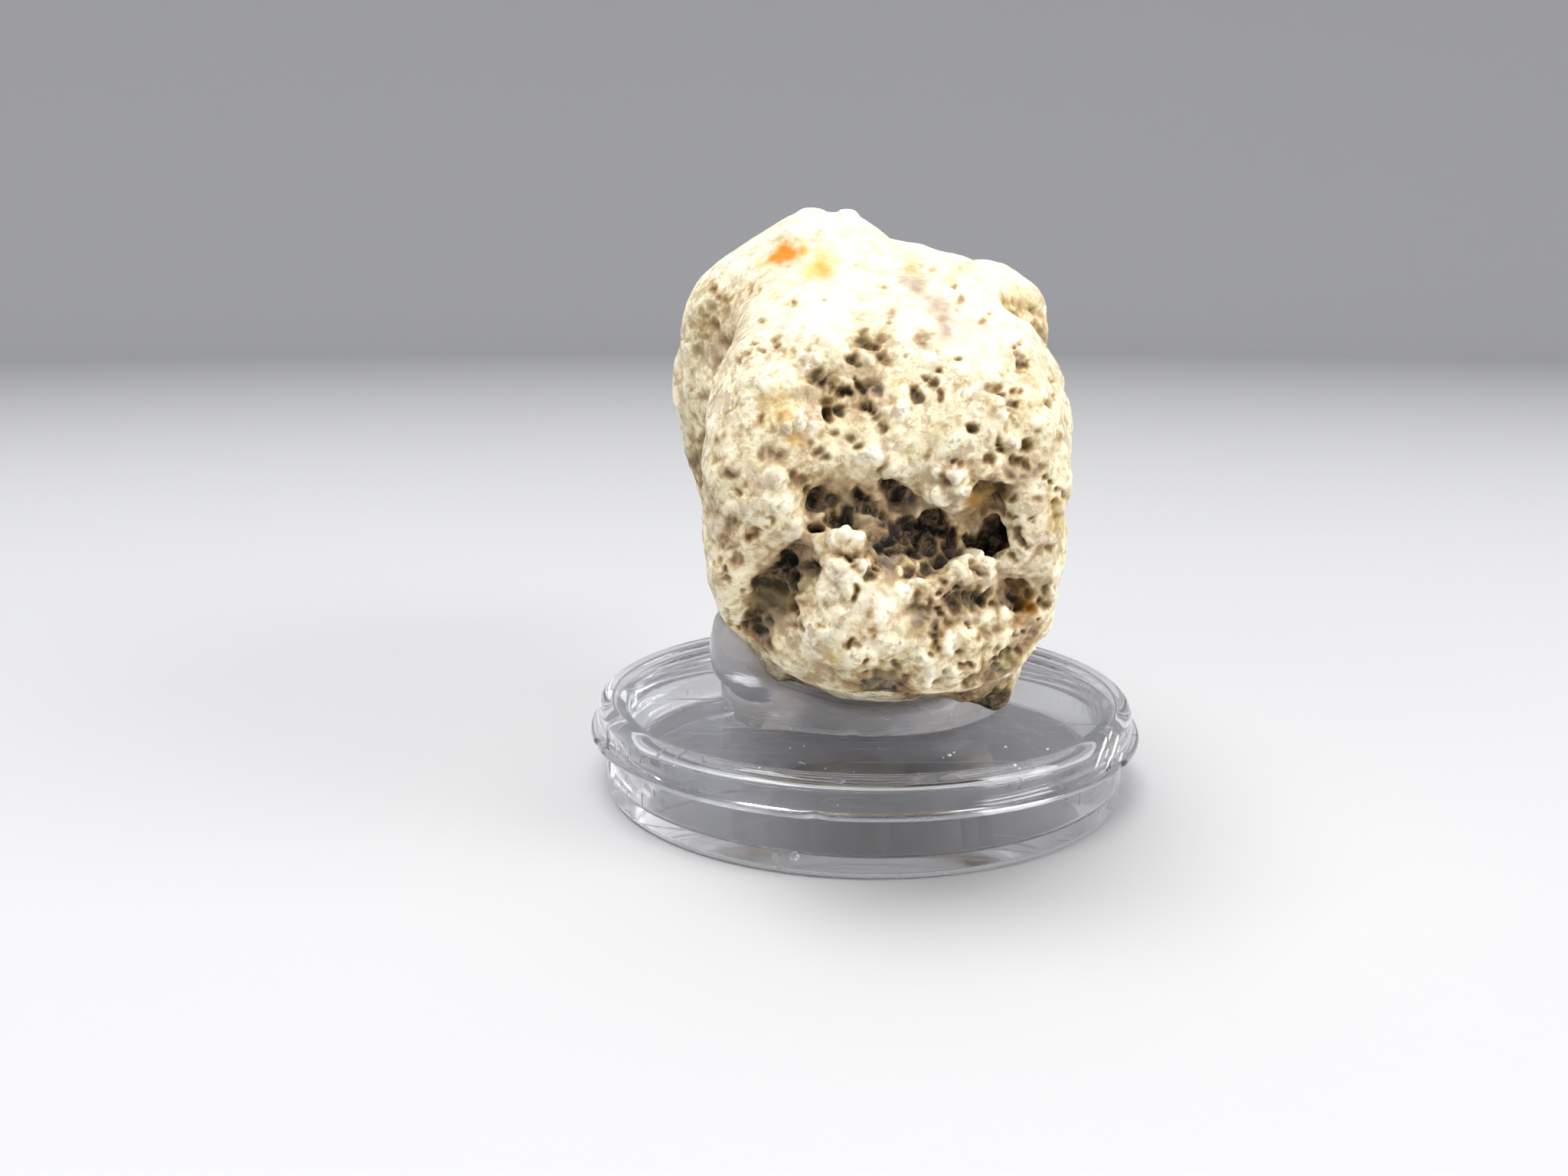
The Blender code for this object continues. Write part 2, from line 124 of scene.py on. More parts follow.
RIGHT_SIDE = (
    (1330, 466, 6, 0.55, 0.4), (1337, 470, 6, 0.75, 0.6), (1341, 474, 5, 0.85, 0.7),
    (1325, 464, 5, 0.45, 0.3), (1332, 475, 6, 0.6, 0.5), (1305, 505, 6, 0.55, 0.4),
    (1310, 511, 5, 0.6, 0.4), (1297, 503, 6, 0.4, 0.3), (1322, 508, 5, 0.35, 0.2), (1332, 511, 4, 0.4, 0.2),
    (1325, 530, 5, 0.5, 0.4), (1320, 526, 4, 0.4, 0.3), (1317, 540, 4, 0.4, 0.3), (1319, 548, 4, 0.4, 0.3),
    (1306, 580, 4, 0.55, 0.5), (1310, 588, 4, 0.5, 0.4), (1303, 572, 4, 0.4, 0.3),
    (1341, 584, 6, 0.75, 0.8), (1340, 577, 5, 0.6, 0.6), (1326, 602, 6, 0.85, 0.7),
    (1333, 602, 6, 0.85, 0.7), (1340, 606, 5, 0.6, 0.5), (1374, 494, 5, 0.5, 0.4), (1378, 515, 4, 0.4, 0.2),
    (1367, 526, 5, 0.4, 0.3), (1386, 568, 5, 0.45, 0.2), (1355, 565, 5, 0.4, 0.2), (1360, 608, 5, 0.5, 0.3),
    (1350, 614, 4, 0.4, 0.2), (1362, 624, 5, 0.5, 0.4), (1368, 628, 4, 0.45, 0.3), (1320, 620, 6, 0.5, 0.3),
    (1335, 621, 4, 0.4, 0.2), (1378, 640, 4, 0.55, 0.4), (1383, 644, 6, 0.6, 0.4), (1388, 648, 4, 0.5, 0.3),
    (1324, 651, 5, 0.5, 0.3), (1306, 632, 5, 0.5, 0.4), (1352, 650, 5, 0.4, 0.2), (1294, 602, 7, 0.5, 0.3),
    (1322, 672, 5, 0.5, 0.4), (1328, 674, 4, 0.45, 0.3), (1347, 675, 4, 0.45, 0.3),
    (1352, 681, 3, 0.4, 0.2), (1329, 692, 6, 0.8, 0.9), (1331, 700, 5, 0.8, 0.8), (1336, 706, 5, 0.65, 0.6),
    (1341, 712, 5, 0.5, 0.4), (1374, 694, 4, 0.4, 0.2), (1370, 716, 8, 0.6, 0.5), (1360, 718, 5, 0.5, 0.3),
    (1322, 727, 6, 0.55, 0.4), (1326, 731, 4, 0.5, 0.3), (1372, 656, 4, 0.6, 0.6), (1372, 664, 4, 0.7, 0.7),
    (1376, 672, 5, 0.5, 0.6), (1310, 712, 6, 0.6, 0.5), (1310, 722, 5, 0.5, 0.4), (1302, 727, 6, 0.5, 0.4),
    (1360, 785, 6, 0.7, 0.5), (1368, 790, 6, 0.6, 0.4), (1368, 770, 7, 0.5, 0.4), (1374, 764, 4, 0.5, 0.3),
    (1357, 809, 4, 0.6, 0.4), (1338, 826, 4, 0.6, 0.4), (1327, 827, 4, 0.5, 0.3), (1353, 829, 5, 0.5, 0.3),
    (1310, 775, 5, 0.4, 0.3), (1312, 790, 5, 0.45, 0.3), (1328, 448, 6, 0.5, 0.4), (1322, 455, 5, 0.5, 0.3),
)
LOWER_BLOCK = (
    (1045, 815, 6, 0.4, 0.2), (1052, 818, 5, 0.45, 0.2), (1034, 818, 5, 0.4, 0.2), (1070, 817, 5, 0.3, 0.2),
    (1136, 805, 6, 0.35, 0.2), (1137, 825, 6, 0.4, 0.2), (1138, 834, 4, 0.4, 0.2),
    (1113, 841, 5, 0.65, 0.5), (1120, 845, 4, 0.45, 0.3), (1106, 841, 4, 0.4, 0.2),
    (1130, 862, 5, 0.45, 0.3), (1132, 880, 4, 0.55, 0.3), (1172, 873, 6, 0.5, 0.4),
    (1173, 867, 4, 0.5, 0.3), (1197, 783, 6, 0.5, 0.4), (1195, 797, 8, 0.55, 0.4), (1204, 800, 8, 0.6, 0.5),
    (1204, 809, 6, 0.7, 0.5), (1200, 818, 6, 0.55, 0.4), (1213, 797, 7, 0.5, 0.4), (1226, 796, 5, 0.6, 0.4),
    (1230, 804, 5, 0.6, 0.4), (1218, 784, 5, 0.4, 0.3), (1219, 818, 6, 0.45, 0.3), (1218, 830, 6, 0.5, 0.3),
    (1221, 838, 6, 0.6, 0.4), (1225, 846, 6, 0.6, 0.4), (1215, 853, 5, 0.6, 0.4), (1238, 815, 5, 0.4, 0.2),
    (1264, 814, 4, 0.5, 0.4), (1267, 820, 3, 0.45, 0.3), (1292, 828, 8, 0.45, 0.3),
    (1303, 822, 8, 0.4, 0.3), (1281, 835, 5, 0.4, 0.2), (1305, 845, 5, 0.4, 0.2), (1255, 855, 6, 0.4, 0.2),
    (1257, 870, 6, 0.45, 0.3), (1268, 868, 5, 0.55, 0.4), (1268, 890, 7, 0.6, 0.4),
    (1260, 897, 6, 0.6, 0.4), (1262, 905, 5, 0.5, 0.4), (1228, 893, 5, 0.35, 0.2),
    # From (1300, 862) on, the rows lie on the lower right face, which turns down and away from the lights,
    # and along the stone's bottom edge above its underside: their darkness is mostly painted shadow.
    (1232, 880, 4, 0.35, 0.2), (1300, 862, 5, 0.7, 0.5), (1312, 857, 6, 0.75, 0.5),
    (1322, 856, 7, 0.8, 0.5), (1335, 853, 6, 0.7, 0.4), (1300, 875, 6, 0.75, 0.5), (1298, 888, 6, 0.8, 0.5),
    (1310, 880, 6, 0.7, 0.5), (1312, 890, 5, 0.75, 0.5), (1302, 900, 7, 0.85, 0.5),
    (1288, 893, 5, 0.55, 0.4), (1290, 910, 9, 0.95, 0.6), (1305, 915, 8, 0.95, 0.5),
    (1275, 916, 7, 0.9, 0.5), (1300, 926, 6, 0.95, 0.3), (1315, 905, 6, 0.7, 0.4), (1320, 890, 5, 0.6, 0.3),
    (1328, 870, 6, 0.6, 0.3), (1312, 920, 5, 0.9, 0.3), (1262, 915, 7, 0.85, 0.4), (1030, 887, 8, 0.5, 0.2),
    (1045, 889, 8, 0.5, 0.2), (1062, 893, 8, 0.4, 0.2), (1085, 880, 7, 0.4, 0.2), (1112, 899, 11, 0.6, 0.2),
    (1128, 899, 13, 0.75, 0.3), (1145, 899, 15, 0.82, 0.3), (1160, 901, 15, 0.8, 0.3),
    (1175, 905, 14, 0.8, 0.3), (1190, 909, 14, 0.8, 0.3), (1205, 914, 13, 0.75, 0.3),
    (1145, 882, 8, 0.55, 0.3), (1160, 884, 8, 0.6, 0.3), (1180, 888, 7, 0.5, 0.2),
    (1240, 920, 12, 0.8, 0.3), (1223, 918, 12, 0.72, 0.3), (1010, 878, 6, 0.6, 0.3),
    (1000, 868, 6, 0.75, 0.4), (990, 860, 6, 0.8, 0.4),
)
MIDDLE = (
    (1128, 440, 11, 0.45, 0.4), (1135, 447, 8, 0.65, 0.6), (1127, 430, 8, 0.4, 0.3),
    (1146, 440, 9, 0.4, 0.3), (1142, 453, 5, 0.5, 0.4), (1009, 441, 9, 0.4, 0.3), (1013, 449, 5, 0.5, 0.4),
    (1111, 470, 7, 0.55, 0.5), (1116, 476, 5, 0.45, 0.3), (1150, 466, 6, 0.45, 0.4),
    (1155, 474, 6, 0.45, 0.3), (1062, 486, 8, 0.62, 0.7), (1065, 494, 8, 0.6, 0.6),
    (1076, 501, 7, 0.45, 0.4), (1090, 506, 7, 0.45, 0.4), (1102, 512, 7, 0.6, 0.6),
    (1110, 514, 5, 0.5, 0.4), (1120, 503, 6, 0.7, 0.7), (1128, 508, 7, 0.65, 0.6),
    (1138, 500, 7, 0.65, 0.6), (1146, 508, 6, 0.5, 0.5), (1115, 495, 3, 0.6, 0.4),
    (1085, 538, 7, 0.95, 1.2), (1083, 527, 9, 0.5, 0.5), (1097, 536, 6, 0.6, 0.5),
    (1125, 530, 6, 0.75, 0.7), (1134, 531, 7, 0.8, 0.8), (1142, 537, 6, 0.62, 0.6),
    (1147, 548, 7, 0.5, 0.5), (1154, 558, 7, 0.48, 0.4), (1193, 514, 6, 0.65, 0.6),
    (1199, 520, 6, 0.6, 0.6), (1188, 509, 4, 0.45, 0.3), (1211, 496, 5, 0.6, 0.5),
    (1218, 502, 6, 0.65, 0.6), (1227, 513, 7, 0.55, 0.5), (1226, 487, 5, 0.4, 0.3),
    (1207, 440, 8, 0.4, 0.3), (1209, 445, 4, 0.45, 0.3), (1268, 560, 6, 0.7, 0.6), (1243, 606, 5, 0.6, 0.5),
    (1251, 612, 5, 0.6, 0.5), (1208, 600, 4, 0.3, 0.2), (1150, 612, 4, 0.35, 0.3),
    (1092, 563, 6, 0.45, 0.3), (1114, 570, 7, 0.48, 0.4), (1123, 581, 6, 0.5, 0.4),
    (1007, 592, 9, 0.42, 0.3), (1016, 596, 8, 0.4, 0.3), (992, 592, 7, 0.5, 0.4), (992, 545, 6, 0.35, 0.3),
    (1068, 592, 7, 0.45, 0.4), (1076, 602, 6, 0.45, 0.4), (1058, 582, 6, 0.4, 0.3),
    (1040, 620, 5, 0.55, 0.4), (1255, 468, 4, 0.35, 0.3), (1183, 463, 5, 0.3, 0.2),
)
LEFT_SIDE = (
    (951, 619, 7, 0.6, 0.3), (963, 643, 5, 0.35, 0.2), (970, 632, 5, 0.35, 0.2), (930, 572, 4, 0.35, 0.2),
    (930, 670, 5, 0.4, 0.2), (926, 655, 4, 0.35, 0.2), (945, 678, 6, 0.55, 0.3), (955, 684, 6, 0.55, 0.3),
    (945, 690, 6, 0.45, 0.3), (978, 706, 6, 0.6, 0.4), (984, 702, 5, 0.5, 0.3), (945, 705, 8, 0.35, 0.2),
    (950, 720, 8, 0.38, 0.2), (955, 732, 8, 0.4, 0.3), (966, 732, 6, 0.4, 0.2), (935, 729, 5, 0.4, 0.2),
    (943, 748, 6, 0.55, 0.4), (947, 757, 5, 0.55, 0.4), (972, 772, 5, 0.4, 0.2), (1008, 678, 5, 0.45, 0.3),
    (1000, 688, 6, 0.35, 0.2), (986, 694, 6, 0.35, 0.2), (950, 812, 6, 0.35, 0.2), (962, 822, 6, 0.4, 0.3),
    (982, 808, 6, 0.5, 0.4), (906, 655, 6, 0.7, 0.3), (900, 640, 5, 0.5, 0.2), (900, 605, 6, 0.5, 0.2),
    (905, 580, 5, 0.4, 0.2), (930, 376, 7, 0.38, 0.2), (935, 385, 6, 0.4, 0.2), (943, 390, 6, 0.38, 0.2),
    (945, 402, 7, 0.38, 0.2), (928, 400, 6, 0.35, 0.2), (927, 425, 6, 0.45, 0.3), (915, 410, 6, 0.3, 0.1),
    (915, 440, 6, 0.4, 0.2), (937, 445, 6, 0.4, 0.2), (905, 458, 5, 0.4, 0.2), (923, 472, 5, 0.4, 0.2),
)
TOP_SIDE = (
    (980, 375, 6, 0.2, 0.05), (988, 380, 4, 0.3, 0.2), (994, 416, 5, 0.5, 0.3), (1034, 392, 3, 0.75, 0.4),
    (984, 448, 4, 0.4, 0.2), (990, 458, 5, 0.45, 0.3), (975, 463, 4, 0.5, 0.3), (966, 472, 4, 0.55, 0.3),
    (998, 467, 4, 0.3, 0.1), (1077, 391, 5, 0.35, 0.1), (1155, 374, 6, 0.35, 0.2), (1164, 406, 6, 0.5, 0.3),
    (1162, 417, 5, 0.4, 0.2), (1253, 389, 5, 0.6, 0.3), (1253, 401, 5, 0.4, 0.2), (1249, 374, 4, 0.5, 0.2),
    (1283, 415, 5, 0.5, 0.3), (1288, 407, 4, 0.4, 0.2), (1315, 405, 4, 0.3, 0.1), (1330, 386, 5, 0.35, 0.2),
    (1342, 393, 6, 0.55, 0.4), (1320, 388, 4, 0.35, 0.2), (1355, 398, 5, 0.5, 0.3),
    (1358, 418, 5, 0.5, 0.3), (1363, 430, 5, 0.6, 0.4), (1367, 445, 6, 0.65, 0.4), (1352, 425, 4, 0.5, 0.3),
    (1361, 440, 5, 0.75, 0.4), (1328, 402, 4, 0.45, 0.3), (1335, 410, 4, 0.4, 0.2),
)
HOLLOWS = PIT_BAND + RIGHT_SIDE + LOWER_BLOCK + MIDDLE + LEFT_SIDE + TOP_SIDE
# The hollows deeper than this are painted dark down to their walls, as painted shadow in a deep hole
DEEP = 1.75
# Broad brown areas round the hollows: pixel, radius and darkness. They are partly the bone's brown and
# partly painted shade: those along the stone's bottom edge and its lower right face paint the shadow there,
# and the narrow row from (907, 660) to (940, 452) paints a shaded line along the near block's left crease.
BROWN_AND_SHADE_AREAS = (
    (1100, 664, 42, 0.48), (1210, 704, 50, 0.58), (1035, 745, 36, 0.52), (1005, 785, 32, 0.52),
    (988, 830, 26, 0.46), (1265, 780, 32, 0.34), (1160, 690, 32, 0.42), (1290, 652, 28, 0.46),
    (1150, 725, 28, 0.28), (1125, 512, 44, 0.26), (1075, 500, 32, 0.18), (1130, 444, 28, 0.20),
    (1045, 590, 40, 0.12), (1335, 778, 28, 0.30), (1325, 610, 46, 0.14), (1335, 520, 46, 0.12),
    (1210, 812, 26, 0.46), (1300, 885, 34, 0.42), (1298, 918, 26, 0.84), (1150, 896, 40, 0.34),
    (1045, 890, 30, 0.18), (1240, 918, 40, 0.36), (930, 420, 38, 0.20), (903, 612, 34, 0.20),
    (945, 600, 60, 0.10), (907, 660, 9, 0.26), (907, 635, 9, 0.24), (909, 600, 9, 0.20),
    (911, 570, 9, 0.26), (914, 545, 9, 0.28), (919, 520, 9, 0.30), (925, 496, 9, 0.30), (931, 474, 9, 0.28),
    (940, 452, 9, 0.22), (1350, 424, 26, 0.22), (950, 710, 30, 0.12), (1115, 640, 20, 0.12),
    (1380, 690, 30, 0.08), (1350, 830, 30, 0.22), (1200, 590, 55, 0.04), (1080, 840, 60, 0.04),
    (1025, 540, 22, 0.10),
)
# Lumps: pixel, radius, and height in millimetres
KNOBS = (
    (1064, 277, 16, 0.35), (1109, 277, 11, 0.3), (1030, 300, 10, 0.25), (1090, 702, 13, 0.6),
    (1105, 698, 13, 0.7), (1120, 706, 11, 0.5), (1070, 670, 8, 0.6), (1228, 650, 14, 0.6),
    (1213, 650, 12, 0.4), (1245, 664, 12, 0.5), (1256, 640, 12, 0.5), (1248, 622, 11, 0.45),
    (1225, 620, 10, 0.35), (1250, 740, 12, 0.6), (1262, 727, 10, 0.5), (1276, 722, 10, 0.5),
    (1289, 735, 12, 0.5), (1291, 752, 12, 0.4), (1265, 757, 12, 0.35), (1320, 742, 14, 0.3),
    (1155, 691, 7, 0.4), (1195, 666, 8, 0.5), (1130, 741, 9, 0.45), (1093, 745, 14, 0.5),
    (1080, 772, 18, 0.45), (1130, 782, 20, 0.35), (1175, 772, 18, 0.45), (1185, 733, 7, 0.3),
    (1175, 742, 7, 0.3), (1200, 735, 6, 0.3), (1125, 671, 8, 0.35), (1170, 672, 7, 0.3),
    (1074, 715, 9, 0.3), (1045, 760, 7, 0.35), (1052, 752, 6, 0.3), (1041, 780, 8, 0.3),
    (1027, 557, 10, 0.45), (1046, 553, 12, 0.6), (1064, 557, 11, 0.5), (1136, 592, 14, 0.4),
    (1172, 612, 14, 0.35), (1178, 536, 12, 0.35), (1130, 466, 9, 0.35), (1095, 450, 18, 0.25),
    (1220, 470, 14, 0.25), (1105, 762, 20, 0.4), (1150, 795, 22, 0.35), (1192, 762, 12, 0.35),
    (1060, 832, 26, 0.35), (1112, 862, 22, 0.3), (1198, 858, 18, 0.3), (1243, 838, 16, 0.35),
    (1160, 840, 20, 0.25), (1310, 625, 8, 0.35), (1310, 546, 9, 0.35), (1352, 550, 12, 0.3),
    (1325, 577, 10, 0.35), (1240, 578, 18, 0.2), (1015, 626, 15, 0.5), (1022, 655, 15, 0.4),
    (1036, 690, 14, 0.4), (1372, 703, 10, 0.3), (1380, 665, 9, 0.25), (1376, 778, 7, 0.35),
    (1353, 412, 8, 0.35), (1354, 803, 11, 0.3), (1241, 850, 9, 0.3), (1247, 876, 9, 0.3),
    (1215, 886, 13, 0.25), (1182, 815, 14, 0.25), (1290, 805, 11, 0.3), (1268, 800, 10, 0.25),
    (1312, 800, 11, 0.3), (1150, 812, 16, 0.25), (1090, 800, 16, 0.25), (1060, 850, 20, 0.2),
    (1140, 860, 18, 0.2), (920, 683, 4, 0.35), (918, 735, 4, 0.3), (1350, 848, 4, 0.35),
    (1055, 470, 14, 0.2), (1160, 500, 14, 0.2), (1270, 520, 14, 0.2), (1300, 480, 14, 0.2),
    (1000, 500, 14, 0.2), (1000, 650, 12, 0.2), (970, 660, 12, 0.2),
)
# Swellings of the outline: pixel, radius, and height in millimetres
SWELLS = (
    (935, 805, 50, 0.4), (965, 850, 45, 0.5), (1000, 872, 36, 0.4), (1303, 918, 20, 1.5),
    (1285, 905, 34, 0.6), (1388, 640, 60, 0.3), (1290, 345, 60, 0.3), (1180, 330, 50, 0.2),
    (895, 445, 26, 0.35),
)
# Stains: pixel, radius and strength
ORANGE_STAINS = (
    (1027, 331, 15, 1.6), (1014, 335, 10, 1.2), (1021, 343, 8, 1.0), (1045, 325, 7, 0.8),
    (1073, 346, 10, 0.5), (1116, 345, 5, 0.6), (981, 370, 5, 0.15), (978, 380, 5, 0.2), (988, 379, 4, 0.2),
    (1186, 349, 7, 0.6), (1195, 350, 6, 0.6), (1203, 355, 5, 0.5), (1184, 338, 4, 0.4), (1262, 346, 6, 0.8),
    (1218, 352, 4, 0.7), (1256, 351, 4, 0.6), (1335, 808, 9, 0.25), (1345, 795, 9, 0.45),
    (1025, 517, 6, 0.3), (1026, 543, 8, 0.5), (1035, 573, 9, 0.35), (1052, 572, 8, 0.25),
    (1138, 806, 6, 0.2), (1137, 828, 6, 0.2), (978, 706, 6, 0.25),
)
AMBER_STAINS = (
    (1274, 655, 10, 1.0), (1278, 665, 9, 0.8), (1290, 650, 9, 0.6), (1300, 645, 8, 0.4),
    (1374, 658, 6, 0.8), (1378, 670, 6, 0.6), (1345, 795, 8, 1.1), (1340, 786, 8, 0.8), (1336, 771, 8, 0.6),
    (1350, 800, 5, 0.7), (1326, 602, 7, 0.4), (1333, 603, 7, 0.5), (1342, 582, 6, 0.4),
    (1320, 455, 7, 0.35), (1085, 530, 7, 0.3), (1060, 490, 7, 0.3), (1048, 632, 10, 0.35),
    (1026, 790, 7, 0.3), (1310, 650, 8, 0.3),
)
YELLOW_STAINS = (
    (1050, 322, 9, 0.8), (1072, 345, 20, 0.9), (1060, 352, 14, 0.8), (1079, 357, 11, 0.8),
    (990, 341, 9, 0.6), (1005, 343, 9, 0.6), (1003, 352, 9, 0.35), (1000, 358, 9, 0.2), (1018, 312, 8, 0.2),
    (1015, 364, 4, 0.5), (1010, 384, 6, 0.3), (1030, 372, 5, 0.2), (1092, 378, 6, 0.15),
    (1140, 326, 16, 0.25), (1130, 345, 8, 0.3), (1152, 352, 4, 0.5), (1130, 368, 6, 0.35),
    (1165, 328, 6, 0.3), (1148, 324, 5, 0.3), (1210, 338, 8, 0.25), (1222, 336, 4, 0.35),
    (1242, 362, 9, 0.5), (1255, 355, 9, 0.45), (1246, 346, 9, 0.3), (1277, 356, 4, 0.4),
    (1283, 362, 4, 0.3), (1325, 378, 16, 0.3), (1345, 385, 12, 0.25), (1355, 420, 9, 0.3),
    (1348, 404, 8, 0.2), (1010, 530, 22, 0.35), (1030, 545, 14, 0.35), (1040, 575, 14, 0.3),
    (1130, 305, 22, 0.14), (1165, 325, 20, 0.18), (1195, 336, 18, 0.2), (1232, 342, 18, 0.2),
    (1374, 658, 8, 0.5), (1343, 793, 10, 0.5), (1085, 858, 12, 0.45), (1097, 852, 9, 0.35),
    (1380, 680, 14, 0.25), (1355, 470, 14, 0.15), (1345, 500, 16, 0.12), (1170, 498, 12, 0.25),
    (1190, 495, 10, 0.2),
)
MAUVE_STAINS = (
    (1185, 367, 8, 0.8), (1197, 374, 12, 1.0), (1208, 369, 7, 0.8), (1212, 388, 7, 0.75),
    (1225, 395, 11, 0.85), (1236, 401, 8, 0.85), (1231, 415, 12, 1.0), (1236, 430, 10, 0.95),
    (1222, 413, 7, 0.6), (1178, 362, 6, 0.6), (1253, 389, 5, 0.6), (1155, 374, 6, 0.3), (1164, 407, 7, 0.5),
    (1207, 440, 8, 0.4), (1077, 391, 5, 0.35), (1283, 415, 4, 0.3), (994, 416, 5, 0.4), (965, 395, 9, 0.12),
    (940, 425, 9, 0.3), (945, 450, 10, 0.25), (925, 450, 8, 0.25), (940, 685, 12, 0.35),
    (950, 715, 13, 0.35), (955, 735, 10, 0.35), (945, 752, 8, 0.3), (951, 619, 7, 0.3),
    (1160, 670, 12, 0.1), (1150, 690, 10, 0.1), (1300, 825, 12, 0.3), (1335, 806, 10, 0.3),
    (1310, 785, 9, 0.25), (935, 580, 12, 0.15), (928, 660, 9, 0.25), (1015, 448, 8, 0.2),
)
# Olive stains, partly painted shade: the first row darkens the groove on the lower left, and those from
# (1300, 895) to (1045, 885) darken the lower right face and the bottom edge where shadow falls.
OLIVE_STAINS_AND_SHADE = (
    (1010, 782, 14, 0.7), (1000, 800, 12, 0.6), (990, 822, 10, 0.4), (1020, 765, 9, 0.3),
    (1125, 670, 8, 0.5), (1118, 678, 6, 0.3), (1105, 650, 10, 0.3), (1310, 722, 9, 0.4),
    (1316, 712, 7, 0.4), (1312, 695, 7, 0.4), (1325, 672, 6, 0.4), (1055, 760, 9, 0.3), (1072, 712, 8, 0.3),
    (1300, 895, 16, 0.35), (1320, 870, 12, 0.5), (1300, 920, 12, 0.12), (1160, 885, 16, 0.35),
    (1045, 885, 14, 0.35), (905, 458, 6, 0.5), (928, 400, 6, 0.5), (915, 412, 7, 0.5), (927, 425, 6, 0.5),
    (915, 440, 7, 0.4), (900, 600, 12, 0.5), (905, 575, 9, 0.4), (1342, 584, 7, 0.4), (1330, 603, 8, 0.3),
    (1065, 488, 9, 0.4), (1080, 530, 9, 0.3), (1128, 436, 12, 0.4), (1085, 480, 16, 0.2),
    (1060, 520, 18, 0.2), (1230, 565, 24, 0.12), (1345, 770, 9, 0.3), (1365, 775, 9, 0.3),
    (1265, 775, 16, 0.3), (1355, 400, 8, 0.2), (1343, 393, 8, 0.25), (1325, 388, 7, 0.2),
    (1365, 440, 8, 0.3), (1180, 850, 20, 0.12), (1100, 880, 16, 0.25), (1205, 800, 10, 0.3),
)

# Edges of the near block, with the stone further back beyond them, on the left of each line as it is drawn
LEFT_CREASE = ((921, 705), (918, 650), (918, 600), (925, 545), (938, 485), (950, 450), (968, 408))
RIGHT_LEDGE = ((1284, 374), (1310, 392), (1330, 410), (1348, 424), (1358, 438), (1368, 458), (1376, 490))
# How deep the stone steps back there, and how many pixels further the step fades out
STEP_DEPTH = 0.5
STEP_REACH_PX = 40.0

# How far the near block's left edge stands out beyond the CAD form: row, and pixels to the left
LEFT_EDGE = (
    (450, 0), (485, 3), (545, 9), (600, 9), (650, 7), (700, 9), (760, 12), (800, 10), (850, 7), (900, 2),
)
# Where that shift fades out, by pixels across and by the place along Y
LEFT_EDGE_END_PX = (950.0, 1030.0)
LEFT_EDGE_END_Y = (-17.0, -11.0)

# Each kind of stain, the olive one partly painted shade: its mask, its places, how much wider they are
# drawn, and its colour
STAINS = (
    ("yellow", YELLOW_STAINS, 1.0, (0.68, 0.47, 0.10)),
    ("mauve", MAUVE_STAINS, 1.25, (0.39, 0.285, 0.20)),
    ("olive", OLIVE_STAINS_AND_SHADE, 1.0, (0.21, 0.18, 0.075)),
    ("amber", AMBER_STAINS, 1.0, (0.30, 0.155, 0.020)),
    ("orange", ORANGE_STAINS, 1.0, (0.60, 0.21, 0.004)),
)

# Colours of the bone, from its bright lumps to its deep hollows, partly its own colour and partly painted
# highlight and painted shade, near black in the deepest. The first and the last step come first
BONE_COLOURS = (
    (0.0, (0.88, 0.83, 0.66)),
    (1.0, (0.006, 0.004, 0.003)),
    (0.24, (0.74, 0.65, 0.43)),
    (0.45, (0.43, 0.307, 0.148)),
    (0.65, (0.19, 0.113, 0.041)),
    (0.85, (0.050, 0.030, 0.012)),
)

# Brown specks of the bone: size in millimetres, cover, softness, strength and colour
BONE_SPECKS = (
    (1.7, 0.205, 0.12, 0.48, (0.44, 0.33, 0.24)),
    (0.8, 0.205, 0.10, 0.58, (0.36, 0.235, 0.125)),
    (0.45, 0.15, 0.08, 0.46, (0.27, 0.18, 0.10)),
)

BONE_CLOUDS = (0.62, 0.53, 0.33)

# Colours of the enamel
ENAMEL_NECK, ENAMEL_TIP = (0.40, 0.235, 0.095), (0.13, 0.060, 0.024)
ENAMEL_BANDS, ENAMEL_CLOUDS = (0.075, 0.036, 0.016), (0.46, 0.31, 0.15)
ENAMEL_CRACKS = (0.030, 0.016, 0.009)

# The putty: its hollows narrower than twice the fill are closed, and its edge is lifted up the stone
PUTTY_STEP, PUTTY_FINAL_STEP = 0.25, 0.27
PUTTY_FILL = 1.8
PUTTY_LIFT = 0.35
PUTTY_TOUCH = 1.6
# Its foot on the lid, a rounded oblong
PUTTY_MIDDLE, PUTTY_REACH, PUTTY_SQUARENESS = (0.2, -2.5), (9.9, 9.6), 2.4
PUTTY_FOOT_END_Z = (8.0, 10.0)
PUTTY_GAP = 0.01

# Dents in the capsule's edges: place, reach and depth
LID_NICKS = (
    ((-3.7, -18.63, 4.2), 0.45, 0.35), ((15.9, -10.4, 4.3), 0.5, 0.2), ((-17.9, -6.2, 4.3), 0.5, 0.15),
    ((9.5, -15.8, 6.3), 0.3, 0.08),
)
BASE_NICKS = (((17.7, -3.2, 0.6), 0.6, 0.25), ((17.6, -3.6, 2.0), 0.5, 0.2), ((-17.8, -2.6, 1.0), 0.6, 0.2))
BEAD_PLACE, BEAD_SIZE = (-4.9, -17.35, 1.3), 0.62
HAIR_PIXEL, HAIR_THICKNESS = (1044, 1000), 0.05

